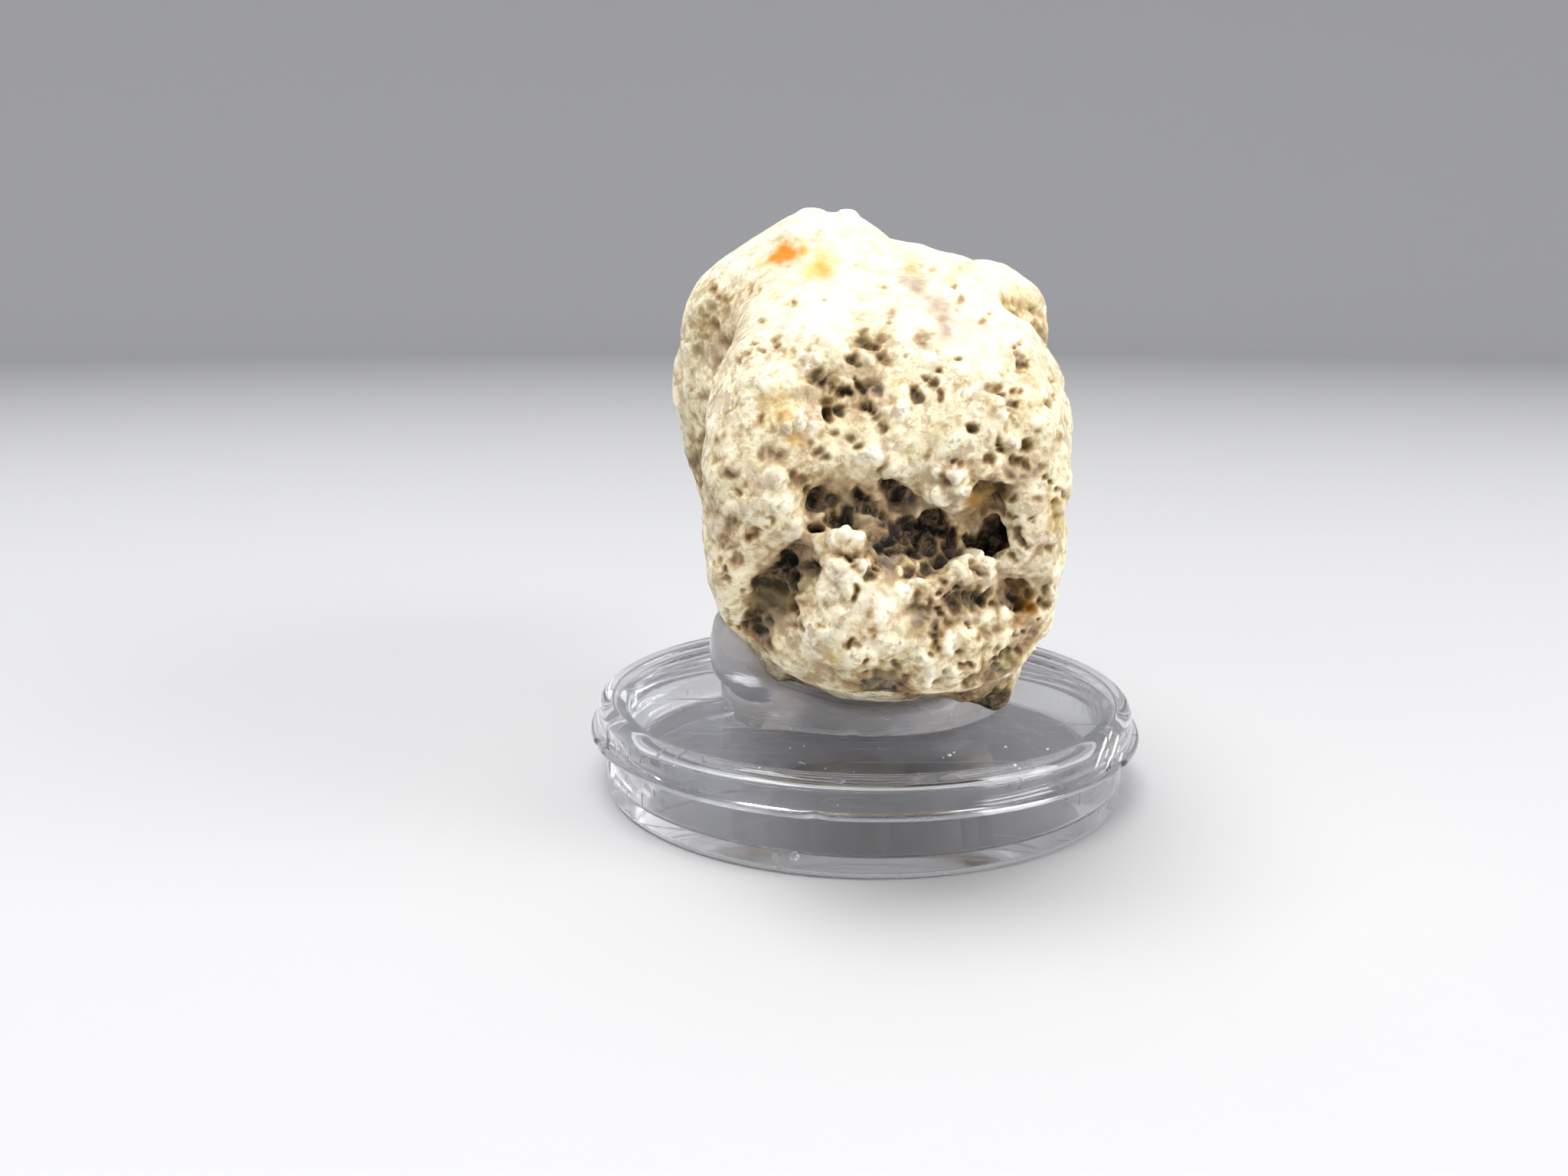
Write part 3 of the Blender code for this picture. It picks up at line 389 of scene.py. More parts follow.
# Crumbs of dust on the lid: pixel and size
DUST = (
    ((1313, 976), 0.20), ((1368, 979), 0.18), ((1240, 987), 0.26), ((1246, 983), 0.16), ((1232, 990), 0.14),
    ((1325, 1000), 0.24), ((1331, 1004), 0.15), ((1032, 977), 0.12), ((1050, 975), 0.10),
    ((1003, 952), 0.10), ((992, 1003), 0.10), ((1078, 1004), 0.12), ((1115, 1008), 0.09),
    ((1200, 1010), 0.09), ((880, 1000), 0.10), ((1148, 977), 0.09), ((1156, 979), 0.09),
    ((1393, 941), 0.11), ((1094, 1052), 0.09),
)
# Flaked white streaks on the lid's shoulder: pixel and length
FLAKES = (
    ((1449, 962), 0.9), ((1457, 970), 1.2), ((1441, 974), 1.3), ((1453, 982), 1.4), ((1436, 987), 1.2),
    ((1463, 990), 0.9), ((1447, 996), 1.0), ((1432, 999), 0.8), ((1445, 984), 0.7), ((1460, 979), 0.6),
)
# The shoulder faces this way, and the flakes stand off it by a little
SHOULDER_FACES = (1.0, -0.5, 0.8)
FLAKE_LIFT = 0.03
FLAKE_LEAN_DEG, FLAKE_TURN_DEG = 40, -58

# The studio floor: its flat radius, the radius of its bend, the wall's height, and its depth below the part
FLOOR_FLAT, FLOOR_BEND, WALL_HEIGHT, FLOOR_BELOW = 800.0, 400.0, 1300.0, 0.03
LIGHT_TARGET = (0.0, 0.0, 0.02)
# Soft lights, in metres and watts: name, place, size and power
LIGHTS = (
    ("key", (-0.11, -0.12, 0.47), (0.36, 0.30), 2.2),
    ("overhead", (0.0, 0.0, 1.15), (1.3, 1.3), 6.0),
    ("front_strip", (0.0, -0.75, 0.14), (0.9, 0.16), 0.60),
    ("left_fill", (-0.45, -0.28, 0.22), (0.30, 0.30), 0.4),
    ("right_fill", (0.45, -0.22, 0.18), (0.30, 0.30), 2.2),
)
WORLD_COLOUR, WORLD_STRENGTH = (0.80, 0.84, 0.92, 1.0), 0.22
LIGHT_BOUNCES = 32


def deselect():
    bpy.ops.object.select_all(action="DESELECT")


def pick(piece):
    """Makes a piece the only selected one."""
    deselect()
    piece.select_set(True)
    bpy.context.view_layer.objects.active = piece


def shade_round(piece):
    pick(piece)
    bpy.ops.object.shade_smooth()


def apply_modifier(piece, name, kind, **settings):
    pick(piece)
    modifier = piece.modifiers.new(name, kind)
    for key, value in settings.items():
        setattr(modifier, key, value)
    bpy.ops.object.modifier_apply(modifier=name)


def remesh(piece, step):
    """Gives a piece even faces of a size in millimetres."""
    apply_modifier(piece, "remesh", "REMESH", mode="VOXEL", voxel_size=step * MM)


def soften(piece, rounds):
    apply_modifier(piece, "soften", "SMOOTH", factor=0.5, iterations=rounds)


def copy_of_node(node, name):
    """A merged copy of a CAD node's mesh, ready for finer work."""
    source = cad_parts[node]
    piece = bpy.data.objects.new(name, source.data.copy())
    piece.data.materials.clear()
    bpy.context.scene.collection.objects.link(piece)
    pick(piece)
    bpy.ops.object.mode_set(mode="EDIT")
    bpy.ops.mesh.select_all(action="SELECT")
    bpy.ops.mesh.remove_doubles(threshold=MERGE_WITHIN * MM)
    bpy.ops.object.mode_set(mode="OBJECT")
    return piece


def mesh_points(piece, what="co"):
    count = len(piece.data.vertices)
    values = np.empty(count * 3, np.float32)
    piece.data.vertices.foreach_get(what, values)
    return values.reshape(-1, 3).astype(float)


def place_points(piece, points):
    piece.data.vertices.foreach_set("co", points.astype(np.float32).ravel())
    piece.data.update()


def rising(values, low, high):
    """0 below a value and 1 above another, with a smooth rise between them."""
    share = np.clip((values - low) / (high - low), 0.0, 1.0)
    return share * share * (3 - 2 * share)


def falling(values, low, high):
    """1 below a value and 0 above another."""
    return rising(-values, -high, -low)


def noise_at(points, size, shift=0.0):
    """Smooth noise from -1 to 1 at each point, with lumps of a size in millimetres."""
    moved = Vector((shift, shift * 0.7, -shift))
    return np.array([noise.noise(Vector(point) / size + moved) for point in points])


def layered(points, layers, start=0.0):
    """The sum of a start and of layers of noise."""
    total = start
    for height, size, shift in layers:
        total = total + height * noise_at(points, size, shift)
    return total


def noise_vectors_at(points, size, shift=0.0):
    moved = Vector((shift, -shift, shift * 0.4))
    return np.array([noise.noise_vector(Vector(point) / size + moved) for point in points])


def noise_cells(points, size, shift=0.0):
    """Distance to the middle of the nearest of many scattered cells, as a share of the cells' size."""
    moved = Vector((shift, shift * 1.3, -shift))
    return np.array([noise.voronoi(Vector(point) / size + moved)[0][0] for point in points])


def pores_at(points, size, shift=0.0):
    """1 in the middle of each pore and 0 away from it."""
    return 1 - noise_cells(points, size, shift)


def rounded_lumps(points, size, shift=0.0):
    """Lumps pressed together like those of spongy bone: 1 on top of a lump and below 0 between them."""
    return 1 - (noise_cells(points, size, shift) / 0.6) ** 2


def pixel_direction(pixel):
    across = (pixel[0] - FRAME_PX[0] / 2) / FOCAL_PX
    upward = (FRAME_PX[1] / 2 - pixel[1]) / FOCAL_PX
    down, level = math.sin(CAMERA_DOWN), math.cos(CAMERA_DOWN)
    return Vector((across, level + upward * down, -down + upward * level)).normalized()


def from_camera(points):
    return points - np.array(CAMERA_PLACE)


def turned_away(points, normals):
    """Below 0 where a surface faces the camera, and above 0 where it faces away."""
    return (from_camera(points) * normals).sum(axis=1)


def pixel_size(points):
    """The size in millimetres of one pixel at each point's distance."""
    forward = np.array(pixel_direction((FRAME_PX[0] / 2, FRAME_PX[1] / 2)))
    return from_camera(points) @ forward / FOCAL_PX


def photo_pixels(points):
    """The pixels at which the camera sees points given in millimetres."""
    offset = from_camera(points)
    down, level = math.sin(CAMERA_DOWN), math.cos(CAMERA_DOWN)
    depth = offset[:, 1] * level - offset[:, 2] * down
    height = offset[:, 1] * down + offset[:, 2] * level
    across = FRAME_PX[0] / 2 + FOCAL_PX * offset[:, 0] / depth
    return np.column_stack((across, FRAME_PX[1] / 2 - FOCAL_PX * height / depth))


def surface_tree(piece):
    points = [Vector(point) for point in mesh_points(piece) / MM]
    return BVHTree.FromPolygons(points, [tuple(face.vertices) for face in piece.data.polygons])


def seen_place(tree, pixel):
    """The place on a surface, in millimetres, that the camera sees at a pixel, or the nearest to it."""
    direction = pixel_direction(pixel)
    hit = tree.ray_cast(CAMERA_PLACE, direction)[0]
    if hit is None:
        hit = tree.find_nearest(CAMERA_PLACE + direction * PAST_EDGE)[0]
    return np.array(hit)


def bells(points, tree, features, sharpness, widening=1.0, as_seen=False):
    """For each feature, its values and a bell round the place that the camera sees at its pixel.

    The bell is round on the surface, or, as_seen, round in the picture on the surface near that place.
    """
    pixels = photo_pixels(points)
    for across, down, radius_px, *values in features:
        place = seen_place(tree, (across, down))
        scale = pixel_size(place)
        distance = np.linalg.norm(points - place, axis=1)
        if as_seen:
            in_picture = np.hypot(pixels[:, 0] - across, pixels[:, 1] - down) * scale
            distance = np.maximum(in_picture, distance / 4.0)
        yield values, np.exp(-((distance / (radius_px * scale * widening)) ** sharpness))


def highest(points, tree, features, sharpness=2.2, value=0, **reach):
    """The highest of the features' bells at each point, so that they run into one another."""
    level = np.zeros(len(points))
    for values, bell in bells(points, tree, features, sharpness, **reach):
        level = np.maximum(level, bell * values[value])
    return level


def summed(points, tree, features, sharpness=2.0, **reach):
    total = np.zeros(len(points))
    for values, bell in bells(points, tree, features, sharpness, **reach):
        total += bell * values[0]
    return total


def add_attribute(piece, name, values):
    attribute = piece.data.attributes.new(name, "FLOAT", "POINT")
    attribute.data.foreach_set("value", np.clip(values, 0.0, 1.0).astype(np.float32))


def refine(piece, wanted):
    """Cuts each face of a region in four; wanted tells the region by the faces' middles and normals."""
    count = len(piece.data.polygons)
    middles, normals = np.empty(count * 3, np.float32), np.empty(count * 3, np.float32)
    piece.data.polygons.foreach_get("center", middles)
    piece.data.polygons.foreach_get("normal", normals)
    chosen = wanted(middles.reshape(-1, 3) / MM, normals.reshape(-1, 3))
    pick(piece)
    bpy.ops.object.mode_set(mode="EDIT")
    bpy.ops.mesh.select_mode(type="FACE")
    bpy.ops.mesh.select_all(action="DESELECT")
    bpy.ops.object.mode_set(mode="OBJECT")
    piece.data.polygons.foreach_set("select", chosen)
    bpy.ops.object.mode_set(mode="EDIT")
    bpy.ops.mesh.subdivide(number_cuts=1)
    bpy.ops.object.mode_set(mode="OBJECT")
    soften(piece, 2)


def fine_region(middles, normals):
    """All that the camera sees, with a little beyond its edge."""
    return (middles[:, 1] < FINE_BACK_Y) & (turned_away(middles, normals) < 6.0)


def finest_region(middles, normals):
    """The end of the root, which faces the camera."""
    return (middles[:, 1] < FINEST_BACK_Y) & (normals[:, 1] < -0.6)


def neighbour_mean(values, edges, counts):
    total = np.zeros_like(values)
    np.add.at(total, edges[:, 0], values[edges[:, 1]])
    np.add.at(total, edges[:, 1], values[edges[:, 0]])
    return total / counts[:, None]


def hollowness(piece, points, normals, rounds):
    """How many millimetres each point lies below the mean surface round it, for each number of rounds."""
    edges = np.empty(len(piece.data.edges) * 2, np.int32)
    piece.data.edges.foreach_get("vertices", edges)
    edges = edges.reshape(-1, 2)
    counts = np.maximum(np.bincount(edges.ravel(), minlength=len(points)), 1)
    smoothed = points.copy()
    done = 0
    for wanted in rounds:
        for _ in range(wanted - done):
            smoothed = 0.4 * smoothed + 0.6 * neighbour_mean(smoothed, edges, counts)
        done = wanted
        yield ((smoothed - points) * normals).sum(axis=1)


def widen_left(points):
    """Moves the near block's left edge out to where the photograph shows it."""
    pixels = photo_pixels(points)
    rows, shifts = zip(*LEFT_EDGE)
    shift = np.interp(pixels[:, 1], rows, shifts)
    shift *= falling(pixels[:, 0], *LEFT_EDGE_END_PX) * falling(points[:, 1], *LEFT_EDGE_END_Y)
    points[:, 0] -= shift * pixel_size(points)


def beyond_line(pixels, line):
    """How far pixels are from a line of pixels, with a sign and without one.

    The signed distance is above 0 on the line's left as it is drawn.
    """
    nearest = np.full(len(pixels), np.inf)
    signed = np.zeros(len(pixels))
    for start, end in zip(line, line[1:]):
        start, along = np.array(start, float), np.array(end, float) - np.array(start, float)
        share = np.clip(((pixels - start) @ along) / (along @ along), 0.0, 1.0)
        offset = pixels - start - share[:, None] * along
        distance = np.linalg.norm(offset, axis=1)
        side = np.sign(along[1] * offset[:, 0] - along[0] * offset[:, 1])
        closer = distance < nearest
        signed[closer] = (side * distance)[closer]
        nearest[closer] = distance[closer]
    return signed, nearest


def step_behind(points, normals, line):
    """How deep the stone steps back on the left of a line that the camera sees."""
    pixels = photo_pixels(points)
    signed, nearest = beyond_line(pixels, line)
    seen = falling(turned_away(points, normals), -30.0, -5.0)
    seen *= falling(points[:, 1], -4.0, 0.0)
    for tip in (line[0], line[-1]):
        seen *= rising(np.linalg.norm(pixels - np.array(tip), axis=1), 5.0, 50.0)
    return STEP_DEPTH * rising(signed, -3.0, 9.0) * np.exp(-((nearest / STEP_REACH_PX) ** 2)) * seen


def crown_relief(points, normals):
    """Fine wrinkles of the enamel, from the neck to the tip, and the two cutting edges at its sides."""
    stretched = points * np.array(WRINKLE_STRETCH)
    wrinkles = 0.05 * noise_at(stretched, 0.8) + 0.04 * noise_at(stretched, 0.35, 4.0)
    wrinkles += 0.05 * noise_at(points, 4.0)
    edges = np.exp(-(((1 - np.abs(normals[:, 0])) / EDGE_WIDTH) ** 2))
    ridge = EDGE_HEIGHT * edges * (0.85 + 0.3 * noise_at(points, 0.6, 2.0))
    return wrinkles + ridge * rising(points[:, 1], 12.0, 16.0)


def pit_darkness(points, tree):
    """How dark the hollows are painted, from 0 to 1: partly the bone's brown and partly painted shade, with
    the deepest painted black as shadow.
    """
    darkness = highest(points, tree, HOLLOWS, 2.0, as_seen=True)
    deepest = [hollow for hollow in HOLLOWS if hollow[4] > DEEP]
    return np.maximum(darkness, highest(points, tree, deepest, 3.0, widening=1.3, as_seen=True))


def carve_tooth(piece):
    """Shapes the tooth's mesh with its pores, pits and lumps, and keeps the masks for its material."""
    points = mesh_points(piece) / MM
    widen_left(points)
    place_points(piece, points * MM)
    normals = mesh_points(piece, "normal")
    tree = surface_tree(piece)
    ragged = points.copy()
    for reach, size, shift in RAGGED_OUTLINES:
        ragged += reach * noise_vectors_at(points, size, shift)

    # The enamel's share, the bone's share, the end of the root, and the smoother top, whose colour is also
    # painted paler as lit from above
    crown = rising(points[:, 1] - layered(points, NECK_LINE, NECK_Y), -0.15, 0.25)
    root = 1.0 - crown
    end = falling(normals[:, 1], -0.9, -0.45) * falling(points[:, 1], -18.0, -14.0)
    smooth_painted_lit_top = rising(normals[:, 2], 0.5, 0.85) * root

    darkness = pit_darkness(ragged, tree)
    areas = summed(ragged, tree, BROWN_AND_SHADE_AREAS, as_seen=True)
    patches = rising(noise_at(points, 4.0, 2.0), -0.3, 0.4)
    small = rising(pores_at(ragged, 0.8, 1.0), 0.66, 0.92) * (0.35 + 0.65 * patches)

    spongy = np.clip(0.22 + 0.5 * end * patches + 2.0 * areas, 0.0, 1.2)
    sponge = 0.16 * rounded_lumps(ragged, 1.4, 2.0) + 0.022 * rounded_lumps(ragged, 0.6, 4.0)
    lumps = layered(points, BROAD_LUMPS)
    lumps += (1 - 0.5 * smooth_painted_lit_top) * (1 - 0.6 * darkness) * spongy * sponge
    lumps += (1 - 0.7 * smooth_painted_lit_top) * layered(points, FINE_GRIT)

    knobs = highest(ragged, tree, KNOBS, 2.4)
    swells = summed(points, tree, SWELLS)
    behind = step_behind(points, normals, LEFT_CREASE) + step_behind(points, normals, RIGHT_LEDGE)
    height = root * (lumps + knobs - 0.5 * areas - 0.08 * small - behind + swells - 0.05)
    height -= highest(ragged, tree, HOLLOWS, 2.4, value=1) * (0.78 + 0.9 * lumps)
    height += crown * (crown_relief(points, normals) - NECK_STEP)
    points += normals * height[:, None]
    low, high = (np.array(corner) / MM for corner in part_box("mosasaur_tooth"))
    points = np.clip(points, low, high)
    place_points(piece, points * MM)

    # The bone is darker in its hollows by their depth below the mean surface round them, which is painted
    # shade; browner round its pits and in its pores, partly its own brown and partly painted shade; and
    # paler on its lumps and its top, which is painted highlight
    fine, broader = hollowness(piece, points, mesh_points(piece, "normal"), (4, 30))
    tone = 0.195 + 0.06 * np.clip(fine / 0.03, -1.0, 1.0) + 0.15 * np.clip(broader / 0.12, -0.8, 1.0)
    halo = highest(ragged, tree, HOLLOWS, 2.0, widening=2.0, as_seen=True)
    tone += areas + 0.15 * halo + 0.06 * small - 0.14 * smooth_painted_lit_top
    # The lumps are painted paler: painted highlight where they catch the light.
    tone -= 0.4 * highest(ragged, tree, KNOBS, as_seen=True)
    tone = np.clip(tone, 0.0, 1.0)
    add_attribute(piece, "shade", tone + (1.0 - tone) * darkness)
    # Fewer brown specks on the top: part of its painted highlight.
    add_attribute(piece, "speckled", 1.0 - 0.6 * smooth_painted_lit_top)
    add_attribute(piece, "crown", crown)
    for mask, places, widening, _ in STAINS:
        add_attribute(piece, mask, highest(ragged, tree, places, widening=widening, as_seen=True))


def fossil_tooth():
    piece = copy_of_node("mosasaur_tooth", "fossil_tooth")
    remesh(piece, COARSE_STEP)
    soften(piece, 6)
    refine(piece, fine_region)
    refine(piece, finest_region)
    carve_tooth(piece)
    shade_round(piece)
    return piece


def close_hollows(piece):
    """Fills a piece's narrow hollows, by swelling it and shrinking it again."""
    for swelling in (PUTTY_FILL, -PUTTY_FILL):
        pushed = mesh_points(piece) + mesh_points(piece, "normal") * swelling * MM
        place_points(piece, pushed)
        remesh(piece, PUTTY_FINAL_STEP)
        soften(piece, 20)


def round_foot(points):
    """Draws the putty's foot in to a rounded oblong."""
    middle = np.array(PUTTY_MIDDLE)
    reach = np.abs((points[:, :2] - middle) / np.array(PUTTY_REACH)) ** PUTTY_SQUARENESS
    reach = reach.sum(axis=1) ** (1 / PUTTY_SQUARENESS)
    outside = np.where(reach > 1.0, 1 - 1 / np.maximum(reach, 0.1), 0.0)
    outside *= falling(points[:, 2], *PUTTY_FOOT_END_Z)
    points[:, :2] -= (points[:, :2] - middle) * outside[:, None]


def putty_wad(tooth_tree):
    """The wad of putty, pressed against the lid and the stone."""
    piece = copy_of_node("mounting_putty", "putty_wad")
    remesh(piece, PUTTY_STEP)
    soften(piece, 8)
    close_hollows(piece)
    points = mesh_points(piece) / MM
    normals = mesh_points(piece, "normal")
    round_foot(points)
    streaks = points * np.array([0.35, 0.35, 1.6])
    swell = 0.06 + 0.12 * noise_at(points, 3.4) + 0.10 * noise_at(streaks, 0.8, 3.0)
    points += normals * swell[:, None]

    near = np.zeros(len(points))
    for index, point in enumerate(points):
        place, outward, _, distance = tooth_tree.find_nearest(Vector(point), PUTTY_TOUCH)
        if place is not None:
            near[index] = 1.0 - distance / PUTTY_TOUCH
            out_by = (Vector(point) - place).dot(outward)
            closeness = math.exp(-(((out_by - 0.1) / 0.35) ** 2))
            points[index] += np.array(outward) * PUTTY_LIFT * closeness
    touching = rising(near, 0.1, 0.8)
    add_attribute(piece, "rim", touching * falling(points[:, 0], -6.0, 2.0) + 0.25 * touching)

    floor = CAPSULE_HEIGHT + PUTTY_GAP
    underside = normals[:, 2] < -0.7
    points[underside, 2] = floor
    points[:, 2] = np.maximum(points[:, 2], floor)
    place_points(piece, points * MM)
    soften(piece, 5)
    shade_round(piece)
    return piece


def arc(middle, radius, start_deg, end_deg, steps=6):
    """Points of a round corner in the radius and height plane."""
    turns = [math.radians(start_deg + (end_deg - start_deg) * step / steps) for step in range(steps + 1)]
    return [(middle[0] + radius * math.cos(turn), middle[1] + radius * math.sin(turn)) for turn in turns]


def turned(name, profile, steps=TURN_STEPS):
    """A surface spun about Z from a profile."""
    radius, height = profile[0]
    bpy.ops.mesh.primitive_plane_add(size=MM, location=(radius * MM, 0.0, height * MM))
    piece = bpy.context.object
    piece.name = piece.data.name = name
    bpy.ops.object.transform_apply(location=True, rotation=True, scale=True)
    bpy.ops.object.mode_set(mode="EDIT")
    bpy.ops.mesh.select_mode(type="VERT")
    bpy.ops.mesh.select_all(action="SELECT")
    bpy.ops.mesh.merge(type="CENTER")
    for (old_radius, old_height), (new_radius, new_height) in zip(profile, profile[1:]):
        step = ((new_radius - old_radius) * MM, 0.0, (new_height - old_height) * MM)
        bpy.ops.mesh.extrude_region_move(TRANSFORM_OT_translate={"value": step})
    bpy.ops.mesh.select_all(action="SELECT")
    bpy.ops.mesh.spin(steps=steps, angle=math.tau, center=(0.0, 0.0, 0.0), axis=(0.0, 0.0, 1.0))
    bpy.ops.mesh.select_all(action="SELECT")
    bpy.ops.mesh.remove_doubles(threshold=MERGE_WITHIN * MM)
    bpy.ops.mesh.normals_make_consistent(inside=False)
    bpy.ops.object.mode_set(mode="OBJECT")
    bpy.ops.object.shade_smooth_by_angle(angle=math.radians(SMOOTH_BELOW_DEG))
    deselect()
    return piece


def nick(piece, place, reach, depth):
    """Pushes a small dent into the outer edge of a turned piece."""
    points = mesh_points(piece) / MM
    distance = np.linalg.norm(points - np.array(place), axis=1)
    radius = np.maximum(np.hypot(points[:, 0], points[:, 1]), 1.0)
    share = 1 - depth * np.exp(-((distance / reach) ** 2)) / radius
    points[:, :2] *= share[:, None]
    place_points(piece, points * MM)


def outer_corner(radius, height, rounding, steps):
    """The rounded corner between an outer wall and the face on top of it."""
    return arc((radius - rounding, height - rounding), rounding, 90, 0, steps)


def clear_lid():
    profile = [(0.0, CAPSULE_HEIGHT)]
    profile += outer_corner(SKIRT_TOP_RADIUS, CAPSULE_HEIGHT, SHOULDER, 10)
    profile += [(SKIRT_FOOT_RADIUS, LIP_TOP)]
    lip_round = (LIP_TOP - LIP_BOTTOM) / 2
    profile += arc((LIP_RADIUS - lip_round, LIP_TOP - lip_round), lip_round, 90, -90, 8)
    profile += [(LID_INNER_RADIUS, LIP_BOTTOM)]
    under_top = CAPSULE_HEIGHT - PLASTIC
    inner_corner = (LID_INNER_RADIUS - LID_INNER_ROUND, under_top - LID_INNER_ROUND)
    profile += arc(inner_corner, LID_INNER_ROUND, 0, 90, 4)
    profile += [(0.0, under_top)]
    lid = turned("clear_lid", profile)
    for place, reach, depth in LID_NICKS:
        nick(lid, place, reach, depth)
    return lid


def clear_base():
    profile = [(0.0, PLASTIC)]
    inner_corner = (BASE_INNER_RADIUS - BASE_INNER_ROUND, PLASTIC + BASE_INNER_ROUND)
    profile += arc(inner_corner, BASE_INNER_ROUND, -90, 0, 5)
    profile += arc((BASE_INNER_RADIUS + RIM_ROUND, SPIGOT_TOP - RIM_ROUND), RIM_ROUND, 180, 90, 3)
    profile += outer_corner(SPIGOT_RADIUS, SPIGOT_TOP, RIM_ROUND, 3)
    profile += [(SPIGOT_RADIUS, BASE_STEP)]
    profile += outer_corner(BASE_RADIUS, BASE_STEP, STEP_ROUND, 3)
    profile += arc((BASE_RADIUS - BASE_ROUND, BASE_ROUND), BASE_ROUND, 0, -90, 8)
    profile += [(0.0, 0.0)]
    base = turned("clear_base", profile)
    for place, reach, depth in BASE_NICKS:
        nick(base, place, reach, depth)
    return base


def joined(pieces, name):
    deselect()
    for piece in pieces:
        piece.select_set(True)
    bpy.context.view_layer.objects.active = pieces[0]
    bpy.ops.object.join()
    piece = bpy.context.object
    piece.name = piece.data.name = name
    deselect()
    return piece


def crumb(place, size, seed, flatness=0.6):
    """A small uneven crumb that lies at a place."""
    middle = Vector(place) * MM
    bpy.ops.mesh.primitive_ico_sphere_add(subdivisions=3, radius=size / 2 * MM, location=middle)
    piece = bpy.context.object
    bpy.ops.object.transform_apply(location=True, rotation=True, scale=True)
    bpy.ops.object.mode_set(mode="EDIT")
    bpy.ops.mesh.select_all(action="SELECT")
    bpy.ops.transform.resize(value=(1.0, 0.8, flatness), center_override=middle)
    bpy.ops.transform.vertex_random(offset=size * 0.06 * MM, seed=seed)
    bpy.ops.object.mode_set(mode="OBJECT")
    return piece


def streak(place, length, seed):
    """A thin flake, lying aslant round the capsule."""
    piece = crumb(place, length, seed, 0.12)
    middle = Vector(place) * MM
    bpy.ops.object.mode_set(mode="EDIT")
    bpy.ops.transform.resize(value=(1.0, 0.18, 1.0), center_override=middle)
    for axis, turn_deg in (("Y", FLAKE_LEAN_DEG), ("Z", FLAKE_TURN_DEG)):
        bpy.ops.transform.rotate(value=math.radians(turn_deg), orient_axis=axis, center_override=middle)
    bpy.ops.object.mode_set(mode="OBJECT")
    return piece


def hair(path, thickness):
    """A thin curved hair through points."""
    start = Vector(path[0]) * MM
    radius = thickness / 2 * MM
    bpy.ops.mesh.primitive_circle_add(vertices=6, radius=radius, location=start, fill_type="NGON")
    piece = bpy.context.object
    bpy.ops.object.transform_apply(location=True, rotation=True, scale=True)
    bpy.ops.object.mode_set(mode="EDIT")
    bpy.ops.mesh.select_all(action="SELECT")
    bpy.ops.transform.rotate(value=math.pi / 2, orient_axis="Y", center_override=start)
    for old, new in zip(path, path[1:]):
        step = (Vector(new) - Vector(old)) * MM
        bpy.ops.mesh.extrude_region_move(TRANSFORM_OT_translate={"value": step})
    bpy.ops.mesh.select_all(action="SELECT")
    bpy.ops.mesh.normals_make_consistent(inside=False)
    bpy.ops.object.mode_set(mode="OBJECT")
    return piece


def hair_path(middle):
    """A short bend round a place on the lid."""
    turns = [math.radians(100 - 25 * step) for step in range(6)]
    bend = [(0.35 * math.cos(turn), 0.5 * math.sin(turn), 0.03) for turn in turns]
    return [tuple(middle + np.array(offset)) for offset in bend]


def lid_dust(lid_tree):
    """The crumbs and the hair that lie on the lid, and the flakes on its shoulder."""
    pieces = []
    for seed, (pixel, size) in enumerate(DUST):
        place = seen_place(lid_tree, pixel)
        pieces.append(crumb(place + np.array([0.0, 0.0, size * 0.15]), size, seed))
    outward = np.array(Vector(SHOULDER_FACES).normalized())
    for seed, (pixel, length) in enumerate(FLAKES, 50):
        place = seen_place(lid_tree, pixel)
        pieces.append(streak(place + outward * FLAKE_LIFT, length, seed))
    pieces.append(hair(hair_path(seen_place(lid_tree, HAIR_PIXEL)), HAIR_THICKNESS))
    piece = joined(pieces, "lid_dust")
    shade_round(piece)
    return piece


def base_bead():
    """A small bead of plastic on the base's outer wall."""
    piece = crumb(BEAD_PLACE, BEAD_SIZE, 5, 0.95)
    piece.name = piece.data.name = "base_bead"
    soften(piece, 3)
    shade_round(piece)
    return piece


def new_material(name):
    material = bpy.data.materials.new(name)
    material.use_nodes = True
    return material, material.node_tree, material.node_tree.nodes["Principled BSDF"]


def node(tree, kind, inputs=None, **settings):
    """Adds a node: inputs are sockets by name or number, given a value or another node's output."""
    made = tree.nodes.new(kind)
    for key, value in settings.items():
        setattr(made, key, value)
    for key, value in (inputs or {}).items():
        if isinstance(value, bpy.types.NodeSocket):
            tree.links.new(value, made.inputs[key])
        else:
            made.inputs[key].default_value = value
    return made


def object_place(tree):
    return tree.nodes.new("ShaderNodeTexCoord").outputs["Object"]


def reckon(tree, operation, first, second=0.0):
    """One step of arithmetic on numbers or on other nodes' outputs."""
    return node(tree, "ShaderNodeMath", {0: first, 1: second}, operation=operation).outputs[0]


def ramp(tree, factor, low, high):
    """0 below a value and 1 above another, with a smooth rise between them."""
    made = node(tree, "ShaderNodeMapRange", {0: factor, 1: low, 2: high}, interpolation_type="SMOOTHSTEP")
    return made.outputs[0]


def spread(tree, factor, low, high, result_low, result_high):
    """A straight rise or fall from one result to another, as a value goes from low to high."""
    inputs = {0: factor, 1: low, 2: high, 3: result_low, 4: result_high}
    return node(tree, "ShaderNodeMapRange", inputs).outputs[0]


